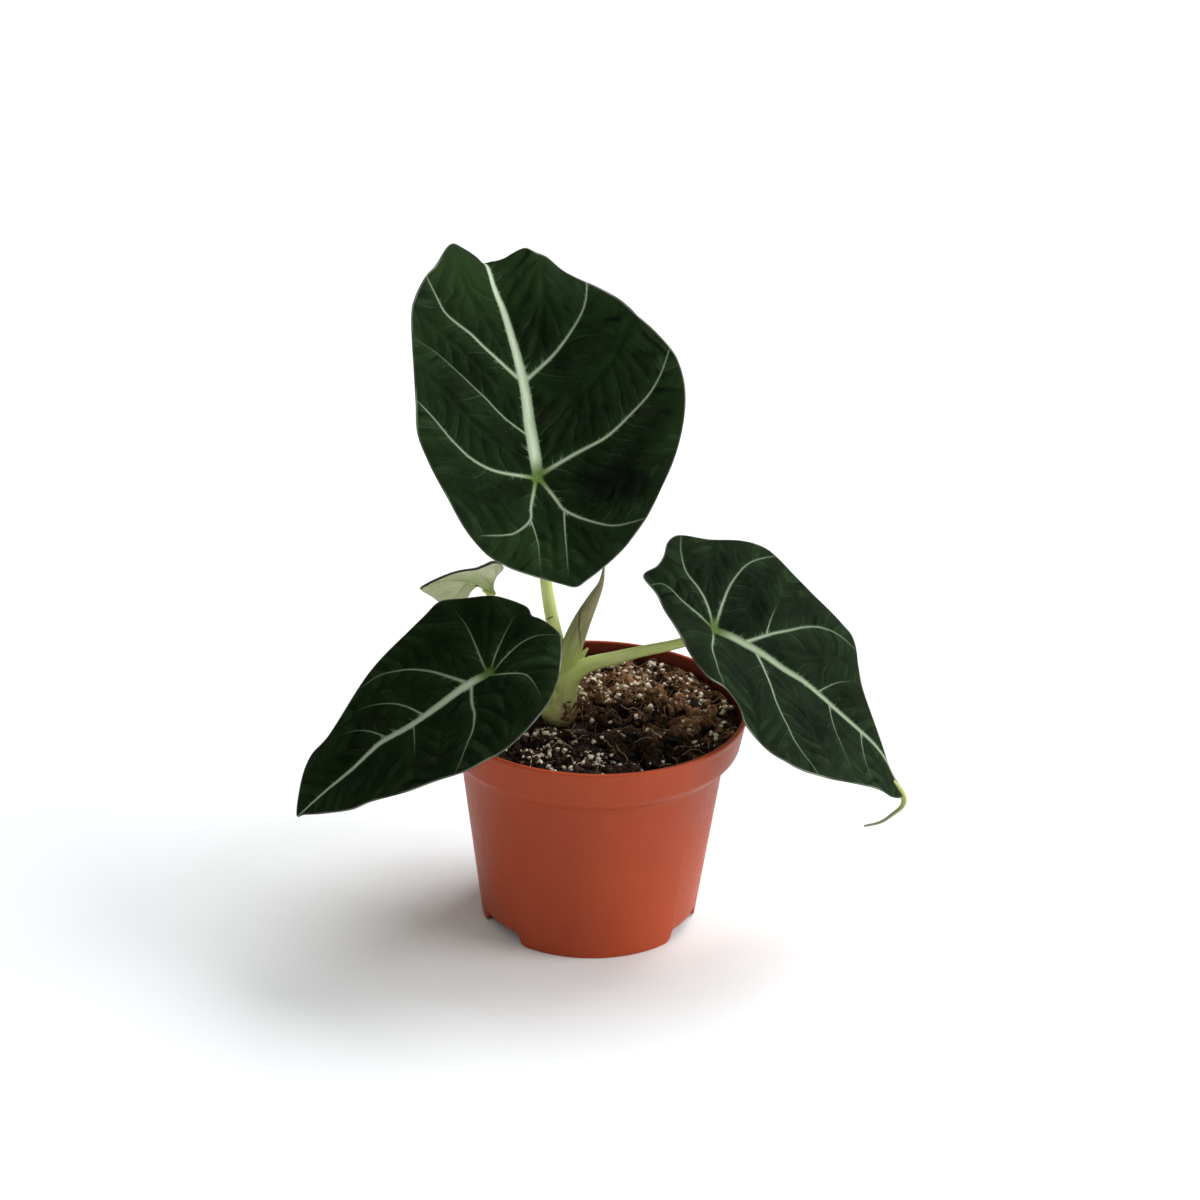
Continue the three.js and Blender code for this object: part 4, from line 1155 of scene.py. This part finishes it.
def mottle_group():
    """Two layers of noise as one share from 0 to 1, for patches of colour, and the fine layer alone."""
    tree, m, entry, leave = new_group(
        "mottle",
        [("Place", "Vector", None), ("Broad", "Float", 1.0), ("Fine", "Float", 5.0),
         ("Contrast", "Float", 0.2)],
        [("Share", "Float"), ("Grain", "Float")],
    )
    broad = m.noise(entry["Place"], entry["Broad"], 3.0)
    fine = m.noise(entry["Place"], entry["Fine"], 4.0, 0.65)
    both = m.math("ADD", m.times(broad, 0.7), m.times(fine, 0.3))
    low = m.math("SUBTRACT", 0.5, entry["Contrast"])
    leave("Share", m.blend(both, low, m.math("ADD", 0.5, entry["Contrast"])))
    leave("Grain", fine)
    return tree


VEIN_MASK = vein_mask_group()
SIDE_VEIN_LINES = side_vein_group()
MOTTLE = mottle_group()


def relief(m, height, distance, strength):
    """A Bump node's normal for a height in units of `distance` metres."""
    feeds = {"Height": height, "Distance": distance, "Strength": strength}
    return m.node("ShaderNodeBump", feeds).outputs[0]


def leaf_upper_material():
    """Near-black green velvet with pale grey-green veins, faint side veins, puckers that gather towards
    the edge and are drawn with strips of painted light and creases of painted shade, and a thin pale
    edge. Its tone carries patches of painted light and painted shade, and a painted grey sheen."""
    material, m, feed = new_material("velvet_leaf_upper", Specular_IOR_Level=0.03)
    names = ("flat", "vein", "vein_more", "tone", "light")
    flat, vein, more, tone, light = (m.attribute(name) for name in names)
    margin, from_joint, _ = m.split(tone)
    reach = m.split(more)[0]
    tone_and_painted_light, grey_sheen, midrib = m.split(light)
    share, grain = m.group(MOTTLE, {"Place": flat, "Broad": 0.04, "Fine": 0.5, "Contrast": 0.15})
    # the blade's tone and its patches of painted light and painted shade lift or lower the mottle
    share = m.math("ADD", m.times(share, 0.5), m.math("SUBTRACT", tone_and_painted_light, 0.2), clamp=True)
    # painted grey sheen: the lighter colour turns greyer where the blade has one
    bright = m.mix(grey_sheen, (0.0105, 0.0255, 0.0055), (0.0125, 0.0225, 0.01))
    lamina = m.mix(share, (0.0014, 0.0034, 0.0012), bright)
    lamina = m.mix(m.blend(margin, 12.0, 0.0, 0.0, 0.25), lamina, (0.013, 0.027, 0.009))
    lamina = m.mix(m.blend(reach, 5.0, 0.5, 0.0, 0.25), lamina, (0.013, 0.029, 0.008))
    lines = {"More": more, "Tone": tone, "Place": flat}
    line, painted_light_band, painted_shade_furrow = m.group(SIDE_VEIN_LINES, {
        **lines, "Spacing": SIDE_VEINS, "Half Width": 0.3, "Fade": 22.0})
    thin_line, thin_painted_light_band, _ = m.group(SIDE_VEIN_LINES, {
        **lines, "Spacing": SIDE_VEINS / 3, "Half Width": 0.16, "Fade": 14.0})
    # painted light on the forward slopes of the puckers and painted shade in the creases behind them,
    # stronger towards the edge
    puckered = m.blend(margin, 22.0, 4.0, 0.4, 1.6)
    lamina = m.mix(m.times(painted_light_band, puckered, 0.42), lamina, (0.018, 0.037, 0.012))
    lamina = m.mix(m.times(painted_shade_furrow, puckered, 0.6), lamina, (0.0015, 0.0035, 0.0013))
    lamina = m.mix(m.times(thin_painted_light_band, 0.1), lamina, (0.0165, 0.033, 0.011))
    rosy = m.blend(m.noise(flat, 0.06, 3.0), 0.55, 0.7, 0.0, 0.3)
    lamina = m.mix(rosy, lamina, (0.017, 0.017, 0.011))
    colour = m.mix(m.times(line, 0.2), lamina, (0.08, 0.12, 0.07))
    colour = m.mix(m.times(thin_line, 0.035), colour, (0.08, 0.11, 0.07))
    wide, core = m.group(VEIN_MASK, {
        "Vein": vein, "More": more, "Place": flat, "Feather": 0.4, "Shake": 0.9, "Barbs": 3.4})
    streaks = m.noise(m.stretched(vein, (3.0, 1.0, 0.12)), 1.0, 2.0)
    narrow_pale = m.mix(core, (0.125, 0.165, 0.105), (0.3, 0.36, 0.255))
    broad_pale = m.mix(core, (0.27, 0.335, 0.24), (0.48, 0.56, 0.41))
    pale = m.mix(midrib, narrow_pale, broad_pale)
    pale = m.mix(m.blend(streaks, 0.4, 0.65, 0.0, 0.35), pale, (0.22, 0.29, 0.13))
    pale = m.mix(m.blend(from_joint, 9.0, 1.5, 0.0, 0.95), pale, (0.07, 0.125, 0.022))
    colour = m.mix(wide, colour, pale)
    rim_share = m.blend(m.noise(flat, 0.05, 2.0), 0.4, 0.62, 0.12, 0.75)
    rim_line = m.blend(m.math("ADD", margin, m.times(grain, 0.3)), 0.8, 0.35)
    colour = m.mix(m.times(rim_line, rim_share), colour, (0.26, 0.29, 0.22))
    specks = m.blend(m.noise(flat, 1.1, 1.0), 0.76, 0.8, 0.0, 0.25)
    colour = m.mix(specks, colour, (0.12, 0.14, 0.11))
    feed("Base Color", colour)
    feed("Roughness", m.blend(wide, 0.0, 1.0, 0.75, 0.6))
    hairs = m.noise(flat, 5.0, 4.0, 0.7)
    creases = m.noise(m.stretched(flat, (1.0, 0.4, 1.0)), 0.5, 4.0, 0.6, 0.6)
    feed("Normal", relief(m, m.math("ADD", m.times(hairs, 0.25), creases), 0.0006, 0.5))
    return material


def leaf_lower_material():
    """The pale grey-green underside, with greener ribs and a faint rosy cast. Its colours are partly
    the underside's true colour and partly painted light, made paler for light that shines through the
    leaf.
    """
    material, m, feed = new_material("leaf_underside", Specular_IOR_Level=0.4)
    flat, vein, more, tone = (m.attribute(name) for name in ("flat", "vein", "vein_more", "tone"))
    margin, from_joint, _ = m.split(tone)
    share, grain = m.group(MOTTLE, {"Place": flat, "Broad": 0.09, "Fine": 0.8, "Contrast": 0.2})
    # paler than the underside itself: painted light standing in for light that shines through the leaf
    colour = m.mix(share, (0.48, 0.53, 0.28), (0.72, 0.76, 0.47))
    colour = m.mix(m.blend(margin, 5.0, 0.0, 0.0, 0.4), colour, (0.7, 0.66, 0.47))
    colour = m.mix(m.blend(from_joint, 17.0, 3.0, 0.0, 0.85), colour, (0.34, 0.44, 0.12))
    line, _, _ = m.group(SIDE_VEIN_LINES, {
        "More": more, "Tone": tone, "Place": flat, "Spacing": SIDE_VEINS, "Half Width": 0.4,
        "Fade": 20.0})
    colour = m.mix(m.times(line, 0.5), colour, (0.3, 0.38, 0.13))
    wide, _ = m.group(VEIN_MASK, {
        "Vein": vein, "More": more, "Place": flat, "Feather": 0.5, "Shake": 0.3, "Barbs": 1.0})
    colour = m.mix(m.times(wide, 0.8), colour, (0.3, 0.4, 0.11))
    feed("Base Color", colour)
    feed("Roughness", m.blend(grain, 0.3, 0.7, 0.42, 0.55))
    feed("Normal", relief(m, m.noise(flat, 1.6, 4.0, 0.6), 0.0004, 0.3))
    return material


def nick_share(m):
    """1 on the short slanting nick in a stalk, SCAR, and 0 beside it."""
    middle = moved_to_row(SCAR["place"])
    offset = m.node("ShaderNodeVectorMath", {0: m.place(), 1: middle}, operation="SUBTRACT").outputs[0]
    off_x, _, off_z = m.split(offset)
    slanted = m.math("ABSOLUTE", m.math("SUBTRACT", off_z, m.times(off_x, SCAR["slant"])))
    across = m.math("ABSOLUTE", off_x)
    return m.times(m.blend(slanted, *metres(SCAR["height"])), m.blend(across, *metres(SCAR["width"])))


def stalk_material(name, pale, deep, flush, flush_share, foot, nicked=False):
    """Smooth skin with fine lengthwise streaks, small darker flecks, a flush of a third colour, and
    another colour at the foot. nicked is whether it has the one short dark scar."""
    material, m, feed = new_material(name, Specular_IOR_Level=0.45)
    around = m.attribute("around")
    share, grain = m.group(MOTTLE, {
        "Place": m.stretched(around, (1.6, 1.6, 0.12)), "Broad": 0.5, "Fine": 2.2, "Contrast": 0.22})
    run = m.split(around)[2]
    colour = m.mix(m.blend(run, 24.0, 6.0, 0.0, 0.65), m.mix(share, pale, deep), foot)
    patches = m.blend(m.noise(around, 0.09, 3.0), 0.42, 0.7, 0.0, flush_share)
    colour = m.mix(patches, colour, flush)
    dots = m.noise(m.stretched(around, (1.0, 1.0, 0.5)), 1.3, 3.0, 0.8)
    colour = m.mix(m.blend(dots, 0.68, 0.78, 0.0, 0.35), colour, deep)
    if nicked:
        colour = m.mix(m.times(nick_share(m), 0.85), colour, (0.06, 0.07, 0.012))
    feed("Base Color", colour)
    feed("Roughness", m.blend(grain, 0.3, 0.7, 0.36, 0.5))
    ridges = m.noise(m.stretched(around, (2.4, 2.4, 0.05)), 1.0, 3.0)
    feed("Normal", relief(m, ridges, 0.0005, 0.35))
    return material


def granular_material(name, dark, light, broad, fine, rough, bump, tone_share=0.6, coir_and_painted_light=None):
    """A matt mineral or plant crumb: two colours by noise, and by a tone for each bit, which on the soil
    also holds painted shade in its hollows. At the back right the lighter colour turns to
    coir_and_painted_light: partly the colour of coir, which lies thickest there, and partly painted
    light."""
    material, m, feed = new_material(name, Specular_IOR_Level=0.1)
    place = m.place()
    share, grain = m.group(MOTTLE, {"Place": place, "Broad": broad, "Fine": fine, "Contrast": 0.17})
    # each bit's tone, which on the soil holds painted shade in the hollows
    tone_and_painted_light = m.attribute("grain_tone_and_painted_shade", "Fac")
    share = m.math("ADD", m.times(share, 1 - tone_share), m.times(tone_and_painted_light, tone_share), clamp=True)
    if coir_and_painted_light:
        # lighter and redder at the back right: partly coir's colour, partly painted light
        at_x, at_y, _ = m.split(place)
        back_right = m.math("ADD", at_y, m.times(at_x, 0.6))
        light = m.mix(m.blend(back_right, -0.03, 0.045), light, coir_and_painted_light)
    feed("Base Color", m.mix(share, dark, light))
    feed("Roughness", m.blend(grain, 0.3, 0.7, rough - 0.1, rough))
    feed("Normal", relief(m, grain, 0.0006, bump))
    return material


def shaded_inner_wall(m, place):
    """How far a point lies on the pot's inner wall above the soil, 0 or 1, and the colour there: painted
    shade, darkest by the soil and paler at the rim. The wall's radius grows evenly from the collar's
    foot up."""
    axis = moved_to_row((0, 0, 0))
    from_axis = m.node("ShaderNodeVectorMath", {0: place, 1: axis}, operation="SUBTRACT").outputs[0]
    level = m.stretched(from_axis, (1.0, 1.0, 0.0))
    radius = m.node("ShaderNodeVectorMath", {0: level}, operation="LENGTH").outputs["Value"]
    height = m.split(place)[2]
    collar_foot = (POT["height"] - POT["collar_height"]) * MM
    least = (POT["collar"] - POT["wall"]) * MM
    slope = (POT["rim"] - POT["rim_wall"] - POT["collar"] + POT["wall"]) / POT["collar_height"]
    inner = m.math("ADD", m.times(m.math("SUBTRACT", height, collar_foot), slope), least)
    over = m.math("SUBTRACT", radius, inner)
    # painted shade on the inner wall: dark by the soil, paler towards the rim
    inside = m.times(m.blend(over, 0.0006, 0.0002), m.blend(height, *metres(INNER_WALL_SHADE["begins"])))
    toward_rim = m.blend(height, *metres(INNER_WALL_SHADE["lightens"]))
    return inside, m.mix(toward_rim, (0.055, 0.006, 0.003), (0.14, 0.015, 0.005))


def pot_material():
    """Moulded terracotta-coloured plastic: soft cloudy patches, faint upright drag marks, a fine skin and
    painted shade on the inner wall above the soil."""
    material, m, feed = new_material("terracotta_plastic", Specular_IOR_Level=0.24)
    place = m.place()
    share, grain = m.group(MOTTLE, {"Place": place, "Broad": 22.0, "Fine": 260.0, "Contrast": 0.25})
    colour = m.mix(share, (0.32, 0.042, 0.009), (0.365, 0.052, 0.012))
    drags = m.noise(m.stretched(place, (240.0, 240.0, 9.0)), 1.0, 3.0)
    colour = m.mix(m.blend(drags, 0.45, 0.75, 0.0, 0.16), colour, (0.4, 0.072, 0.024))
    dust = m.blend(m.noise(place, 900.0, 2.0), 0.66, 0.72, 0.0, 0.25)
    colour = m.mix(dust, colour, (0.5, 0.14, 0.07))
    # painted shade on the inner wall above the soil
    inside, inner_wall_shade = shaded_inner_wall(m, place)
    colour = m.mix(m.times(inside, 0.95), colour, inner_wall_shade)
    feed("Base Color", colour)
    worn = m.math("ADD", m.times(share, 0.5), m.times(grain, 0.5))
    feed("Roughness", m.blend(worn, 0.3, 0.7, 0.38, 0.5))
    skin = m.math("ADD", m.times(m.noise(place, 1500.0, 2.0), 0.5), drags)
    feed("Normal", relief(m, skin, 0.0001, 0.25))
    return material


def floor_material():
    """Plain pale studio floor with the faintest grain."""
    material, m, feed = new_material("studio_floor", Roughness=0.9, Specular_IOR_Level=0.1)
    place = m.place()
    feed("Base Color", m.mix(m.noise(place, 3.0, 2.0), (0.875, 0.9, 0.915), (0.895, 0.92, 0.935)))
    return material


# Assembly -----------------------------------------------------------------------------------------

leaf_upper = leaf_upper_material()
leaf_lower = leaf_lower_material()
for number, blade_name in enumerate(BLADES):
    make_blade(blade_name, 40 + number, [leaf_upper, leaf_lower])


def joint_of(name):
    """Where a stalk meets the lower face of its blade, and the direction that the blade faces there."""
    point, facing = blade_surface(BLADES[name], np.zeros((1, 2)), np.zeros(1))
    return point[0] - JOINT_DEPTH * facing[0], facing[0]


def cut_to_blade(points, heading, end, facing):
    """Points past the plane of the blade's lower face slide back along the stalk's heading, nearly to
    that plane, so that the stalk ends flat against the blade."""
    past = np.maximum((points - end) @ facing, 0) / (heading @ facing)
    return points - 0.97 * past[:, None] * heading


def ribbed(turn, share):
    """A stalk's section: shallow ribs, a flat channel along one side, and a slight flare at the blade."""
    ribs = 0.012 * np.cos(9 * turn) + 0.008 * np.cos(14 * turn + 1.0)
    channel = 0.05 * np.exp(-(((turn - 1.2) / 0.5) ** 2))
    return 1 + ribs - channel + 0.3 * np.exp(-(1 - share) / 0.04)


stalk_skin = stalk_material(
    "petiole_skin", (0.62, 0.69, 0.24), (0.44, 0.54, 0.13), (0.68, 0.66, 0.34), 0.5, (0.53, 0.55, 0.22),
    nicked=True)
for petiole_name, (carried, end_radius, route) in PETIOLES.items():
    end, facing = joint_of(carried)
    heading = unit(end - np.array(route[-1][:3]))
    lean = math.acos(heading @ facing)
    past = end + (1.3 * end_radius * math.tan(lean) + 0.5) * heading
    points, faces, skin = tube(route + [(*end, end_radius), (*past, end_radius)], 40, 120, ribbed)
    points = cut_to_blade(points, heading, end, facing)
    attributes = {"around": skin}
    new_piece(petiole_name + "_stalk", points, faces, [stalk_skin], [petiole_name], attributes)

points, faces, skin = tube(SHEATH_TIP, 24, 40)
new_piece("sheath_tip", points, faces, [stalk_skin], (), {"around": skin})


def lap_turn(share):
    """Where the young leaf's edge lies round its roll, at a share of its length."""
    shares, turns = np.array(LAP).T
    return np.interp(share, shares, turns)


def rolled(turn, share):
    """The young leaf's section: it grows by an eighth round the roll and steps back at the lap."""
    lap = np.mod(turn - lap_turn(share), 2 * np.pi) / (2 * np.pi)
    shown = np.clip((share - 0.25) / 0.2, 0, 1)
    return 1 + shown * (0.13 * lap - 0.06)


def young_leaf_material():
    """Olive skin with fine streaks, rosy towards the top, and a dark line along the lapping edge."""
    material, m, feed = new_material("young_leaf_skin", Specular_IOR_Level=0.4)
    around = m.attribute("around")
    off, share, _ = m.split(m.attribute("lap"))
    streaks = m.noise(m.stretched(around, (1.4, 1.4, 0.06)), 1.0, 4.0, 0.6)
    colour = m.mix(m.blend(streaks, 0.35, 0.65), (0.3, 0.3, 0.125), (0.2, 0.21, 0.075))
    colour = m.mix(m.blend(share, 0.3, 0.6, 0.9, 0.0), colour, (0.44, 0.54, 0.14))
    colour = m.mix(m.blend(share, 0.4, 0.95, 0.0, 0.8), colour, (0.17, 0.125, 0.075))
    mottled = m.blend(m.noise(around, 0.35, 4.0, 0.7), 0.5, 0.7, 0.0, 0.35)
    colour = m.mix(mottled, colour, (0.34, 0.33, 0.18))
    line = m.blend(m.math("ABSOLUTE", off), 0.35, 0.12)
    seen = m.times(m.blend(share, 0.4, 0.53), m.blend(share, 0.74, 0.66))
    colour = m.mix(m.times(line, seen, 0.85), colour, (0.035, 0.018, 0.01))
    feed("Base Color", colour)
    feed("Roughness", m.blend(streaks, 0.3, 0.7, 0.4, 0.52))
    feed("Normal", relief(m, streaks, 0.0006, 0.45))
    return material


points, faces, skin = tube(NEW_LEAF, 72, 150, rolled)
share = skin[:, 2] / skin[:, 2].max()
off_lap = np.mod(np.arctan2(skin[:, 1], skin[:, 0]) - lap_turn(share) + np.pi, 2 * np.pi) - np.pi
lap = np.stack([2.6 * off_lap, share, np.zeros_like(share)], 1)
attributes = {"around": skin, "lap": lap}
young_skin = young_leaf_material()
new_piece("rolled_young_leaf", points, faces, [young_skin], ["new_leaf"], attributes)

tip_skin = stalk_material(
    "drip_tip_skin", (0.26, 0.28, 0.19), (0.15, 0.16, 0.11), (0.38, 0.42, 0.14), 0.25, (0.42, 0.48, 0.08))
points, faces, skin = tube(DRIP_TIP, 16, 70)
new_piece("drip_tip", points, faces, [tip_skin], (), {"around": skin})


def rhizome_material():
    """Pale green skin, darker near the soil with painted shade, brown and papery on the right of its
    upper part.
    """
    material, m, feed = new_material("rhizome_skin", Specular_IOR_Level=0.3)
    place = m.place()
    share, grain = m.group(MOTTLE, {"Place": place, "Broad": 110.0, "Fine": 700.0, "Contrast": 0.2})
    colour = m.mix(share, (0.4, 0.4, 0.15), (0.68, 0.7, 0.32))
    at_x, _, at_z = m.split(place)
    stem_x = STEM[0] + float(POT_AXIS[0])
    browning = metres(stem_x + off for off in RHIZOME_SKIN["brown"])
    right = m.blend(m.shaken(at_x, grain, 0.012), *browning)
    upper = m.blend(at_z, *metres(RHIZOME_SKIN["brown_above"]))
    papery = m.blend(m.noise(m.stretched(place, (1.0, 1.0, 0.5)), 420.0, 3.0), 0.42, 0.55)
    brown = m.mix(papery, (0.09, 0.04, 0.02), (0.36, 0.22, 0.12))
    # painted shade on the rhizome, darker towards the soil
    lower_painted_shade = m.blend(m.shaken(at_z, grain, 0.006), *metres(RHIZOME_SKIN["painted_shade_below"]), 0.0, 0.8)
    colour = m.mix(lower_painted_shade, colour, (0.11, 0.085, 0.035))
    colour = m.mix(m.times(right, upper, 0.85), colour, brown)
    feed("Base Color", colour)
    feed("Roughness", m.blend(grain, 0.3, 0.7, 0.45, 0.65))
    feed("Normal", relief(m, grain, 0.0006, 0.5))
    return material


def rhizome_radius(height):
    """The rhizome's radius at a height."""
    profile = np.array(RHIZOME)
    return np.interp(height, profile[:, 1], profile[:, 0])


def make_roots(name, material):
    """Buried roots: each leaves the rhizome outwards and sinks as the square of the distance."""
    random = np.random.default_rng(ROOTS["seed"])
    points, faces, skins, first = [], [], [], 0
    part_way = np.linspace(0, 1, 5)
    for number in range(ROOTS["count"]):
        turn = 2 * math.pi * (number + 0.5 * random.random()) / ROOTS["count"]
        reach = ROOTS["length"] * (0.7 + 0.5 * random.random())
        out = ROOTS["inset"] + reach * part_way
        x, y = STEM[0] + math.cos(turn) * out, STEM[1] + math.sin(turn) * out
        z = ROOTS["start"] - ROOTS["drop"] * part_way**2
        thick = ROOTS["thick"] + (ROOTS["thin"] - ROOTS["thick"]) * part_way
        route = np.column_stack([x, y, z, thick])
        ring, ring_faces, skin = tube(route, 12, 24, reference=(0.0, 0.0, 1.0))
        points.append(ring)
        skins.append(skin)
        faces.extend(part + first for part in ring_faces)
        first += len(ring)
    new_piece(name, np.vstack(points), faces, [material], (), {"around": np.vstack(skins)})


def make_scale_flakes(name, random, count, material):
    """Brown papery flakes on the right of the rhizome's crown, each a thin bent pebble."""
    turn = random.uniform(-1.3, 0.9, count)
    height = random.uniform(87.0, 94.5, count)
    radius = np.maximum(rhizome_radius(height), 5.6) + 0.3
    places = np.stack([STEM[0] + radius * np.cos(turn), STEM[1] + radius * np.sin(turn), height], 1)
    long, wide = random.uniform(1.2, 2.5, count), random.uniform(0.5, 1.3, count)
    sizes = np.column_stack([long, wide, np.full(count, 0.16)])
    points, faces = scattered(pebble(3, 8), places, sizes, random, 0.25)
    tone = np.repeat(random.random(count), len(points) // count)
    new_piece(name, points, faces, [material], (), {"grain_tone_and_painted_shade": tone})


points, faces = turned(RHIZOME, 96)
points = points + (STEM[0], STEM[1], 0)
knobs = 0.35 * lumps(points[:, 0] * 1.5 + points[:, 2], points[:, 1] * 1.5 - points[:, 2], 4.0, 9)
outward = unit(points - np.array([STEM[0], STEM[1], 80.0]))
points = points + knobs[:, None] * outward
rhizome_skin = rhizome_material()
new_piece("rhizome_body", points, faces, [rhizome_skin], ["rhizome"])
make_roots("buried_roots", rhizome_skin)
flake = granular_material(
    "papery_flake", (0.035, 0.015, 0.008), (0.24, 0.13, 0.065), broad=300.0, fine=1200.0, rough=0.8,
    bump=0.5)
make_scale_flakes("rhizome_flakes", np.random.default_rng(31), 34, flake)

rng = np.random.default_rng(77)
peat = granular_material(
    "peat", (0.003, 0.002, 0.0015), (0.04, 0.023, 0.015), broad=160.0, fine=900.0, rough=0.95, bump=1.0,
    tone_share=0.7, coir_and_painted_light=(0.075, 0.034, 0.017))
perlite = granular_material(
    "perlite", (0.55, 0.45, 0.34), (0.95, 0.87, 0.75), broad=300.0, fine=1500.0, rough=0.9, bump=0.6,
    tone_share=0.3)
bark = granular_material(
    "bark", (0.002, 0.0015, 0.001), (0.04, 0.026, 0.018), broad=200.0, fine=900.0, rough=0.8, bump=1.0)
coir = granular_material(
    "coir", (0.04, 0.018, 0.009), (0.17, 0.09, 0.05), broad=300.0, fine=1200.0, rough=0.8, bump=0.4,
    coir_and_painted_light=(0.6, 0.32, 0.165))
crumb = granular_material(
    "peat_crumb", (0.003, 0.002, 0.0015), (0.09, 0.052, 0.034), broad=250.0, fine=1100.0, rough=0.95,
    bump=0.8, coir_and_painted_light=(0.44, 0.22, 0.11))
twig = granular_material(
    "pale_twig", (0.2, 0.14, 0.09), (0.6, 0.48, 0.34), broad=300.0, fine=1200.0, rough=0.8, bump=0.4)
make_soil_bed(peat)
make_crumbs("peat_crumbs", rng, 3200, everywhere, crumb, pebble(2, 5),
            size=(0.4, 2.1), flatten=0.6, rough=0.35, lift=0.1)
make_crumbs("peat_clods", rng, 110, clod_share, crumb, pebble(5, 9),
            size=(1.3, 2.9), flatten=0.6, rough=0.42, lift=-0.15, stretch=1.3)
make_crumbs("perlite_grains", rng, 2000, perlite_share, perlite, pebble(3, 6),
            size=(0.28, 1.3), flatten=0.75, rough=0.38, lift=0.3)
make_crumbs("bark_chips", rng, 170, bark_share, bark, pebble(3, 6),
            size=(0.9, 2.6), flatten=0.34, rough=0.35, lift=0.1, tilt=0.5, stretch=2.2, smooth=False)
make_fibres("coir_threads", rng, 470, fibre_share, coir, length=(4.0, 15.0), radius=(0.09, 0.24))
make_fibres("pale_twigs", rng, 65, bark_share, twig, length=(5.0, 14.0), radius=(0.12, 0.28))

make_pot(pot_material())

# Floor, light and camera --------------------------------------------------------------------------

floor_mesh = bpy.data.meshes.new("studio_floor")
far = 14.0
corners = [(-far, -far, 0), (far, -far, 0), (far, far, 0), (-far, far, 0)]
floor_mesh.from_pydata(corners, [], [(0, 1, 2, 3)])
floor_mesh.materials.append(floor_material())
floor = bpy.data.objects.new("studio_floor", floor_mesh)
bpy.context.scene.collection.objects.link(floor)


def sun(name, direction, strength, softness):
    """A light from far away, shining against `direction`, with a disc of `softness` degrees."""
    light = bpy.data.lights.new(name, "SUN")
    light.energy, light.angle = strength, math.radians(softness)
    lamp = bpy.data.objects.new(name, light)
    lamp.rotation_euler = Vector(direction).to_track_quat("Z", "Y").to_euler()
    bpy.context.scene.collection.objects.link(lamp)


sun("key_light", (0.5, 0.42, 0.76), 2.6, 40)
sun("side_light", (0.92, -0.14, 0.37), 2.7, 45)
sun("front_fill", (-0.35, -0.8, 0.6), 0.25, 60)

world = bpy.data.worlds.new("studio")
bpy.context.scene.world = world
world.use_nodes = True
lit = world.node_tree.nodes["Background"]
lit.inputs["Color"].default_value = (1.0, 1.0, 1.0, 1.0)
lit.inputs["Strength"].default_value = 0.28

bpy.context.scene.view_settings.view_transform = "Standard"

CAMERA = {"distance": 1500.0, "elevation": 24.42, "aim": (1.5, 0.0, 133.6), "lens": 117.45, "roll": 1.49}
lens = bpy.data.cameras.new("camera")
lens.lens, lens.sensor_width, lens.sensor_fit = CAMERA["lens"], 36.0, "HORIZONTAL"
lens.clip_start, lens.clip_end = 0.05, 60.0
camera = bpy.data.objects.new("camera", lens)
lift = math.radians(CAMERA["elevation"])
forward = Vector((0.0, math.cos(lift), -math.sin(lift)))
right = Vector((1.0, 0.0, 0.0))
above = right.cross(forward)
aim = Vector((np.array(CAMERA["aim"]) + POT_AXIS) * MM)
roll = Matrix.Rotation(math.radians(CAMERA["roll"]), 4, "Z")
turn = Matrix((right, above, -forward)).transposed().to_4x4() @ roll
camera.matrix_world = Matrix.Translation(aim - forward * CAMERA["distance"] * MM) @ turn
bpy.context.scene.collection.objects.link(camera)
bpy.context.scene.camera = camera
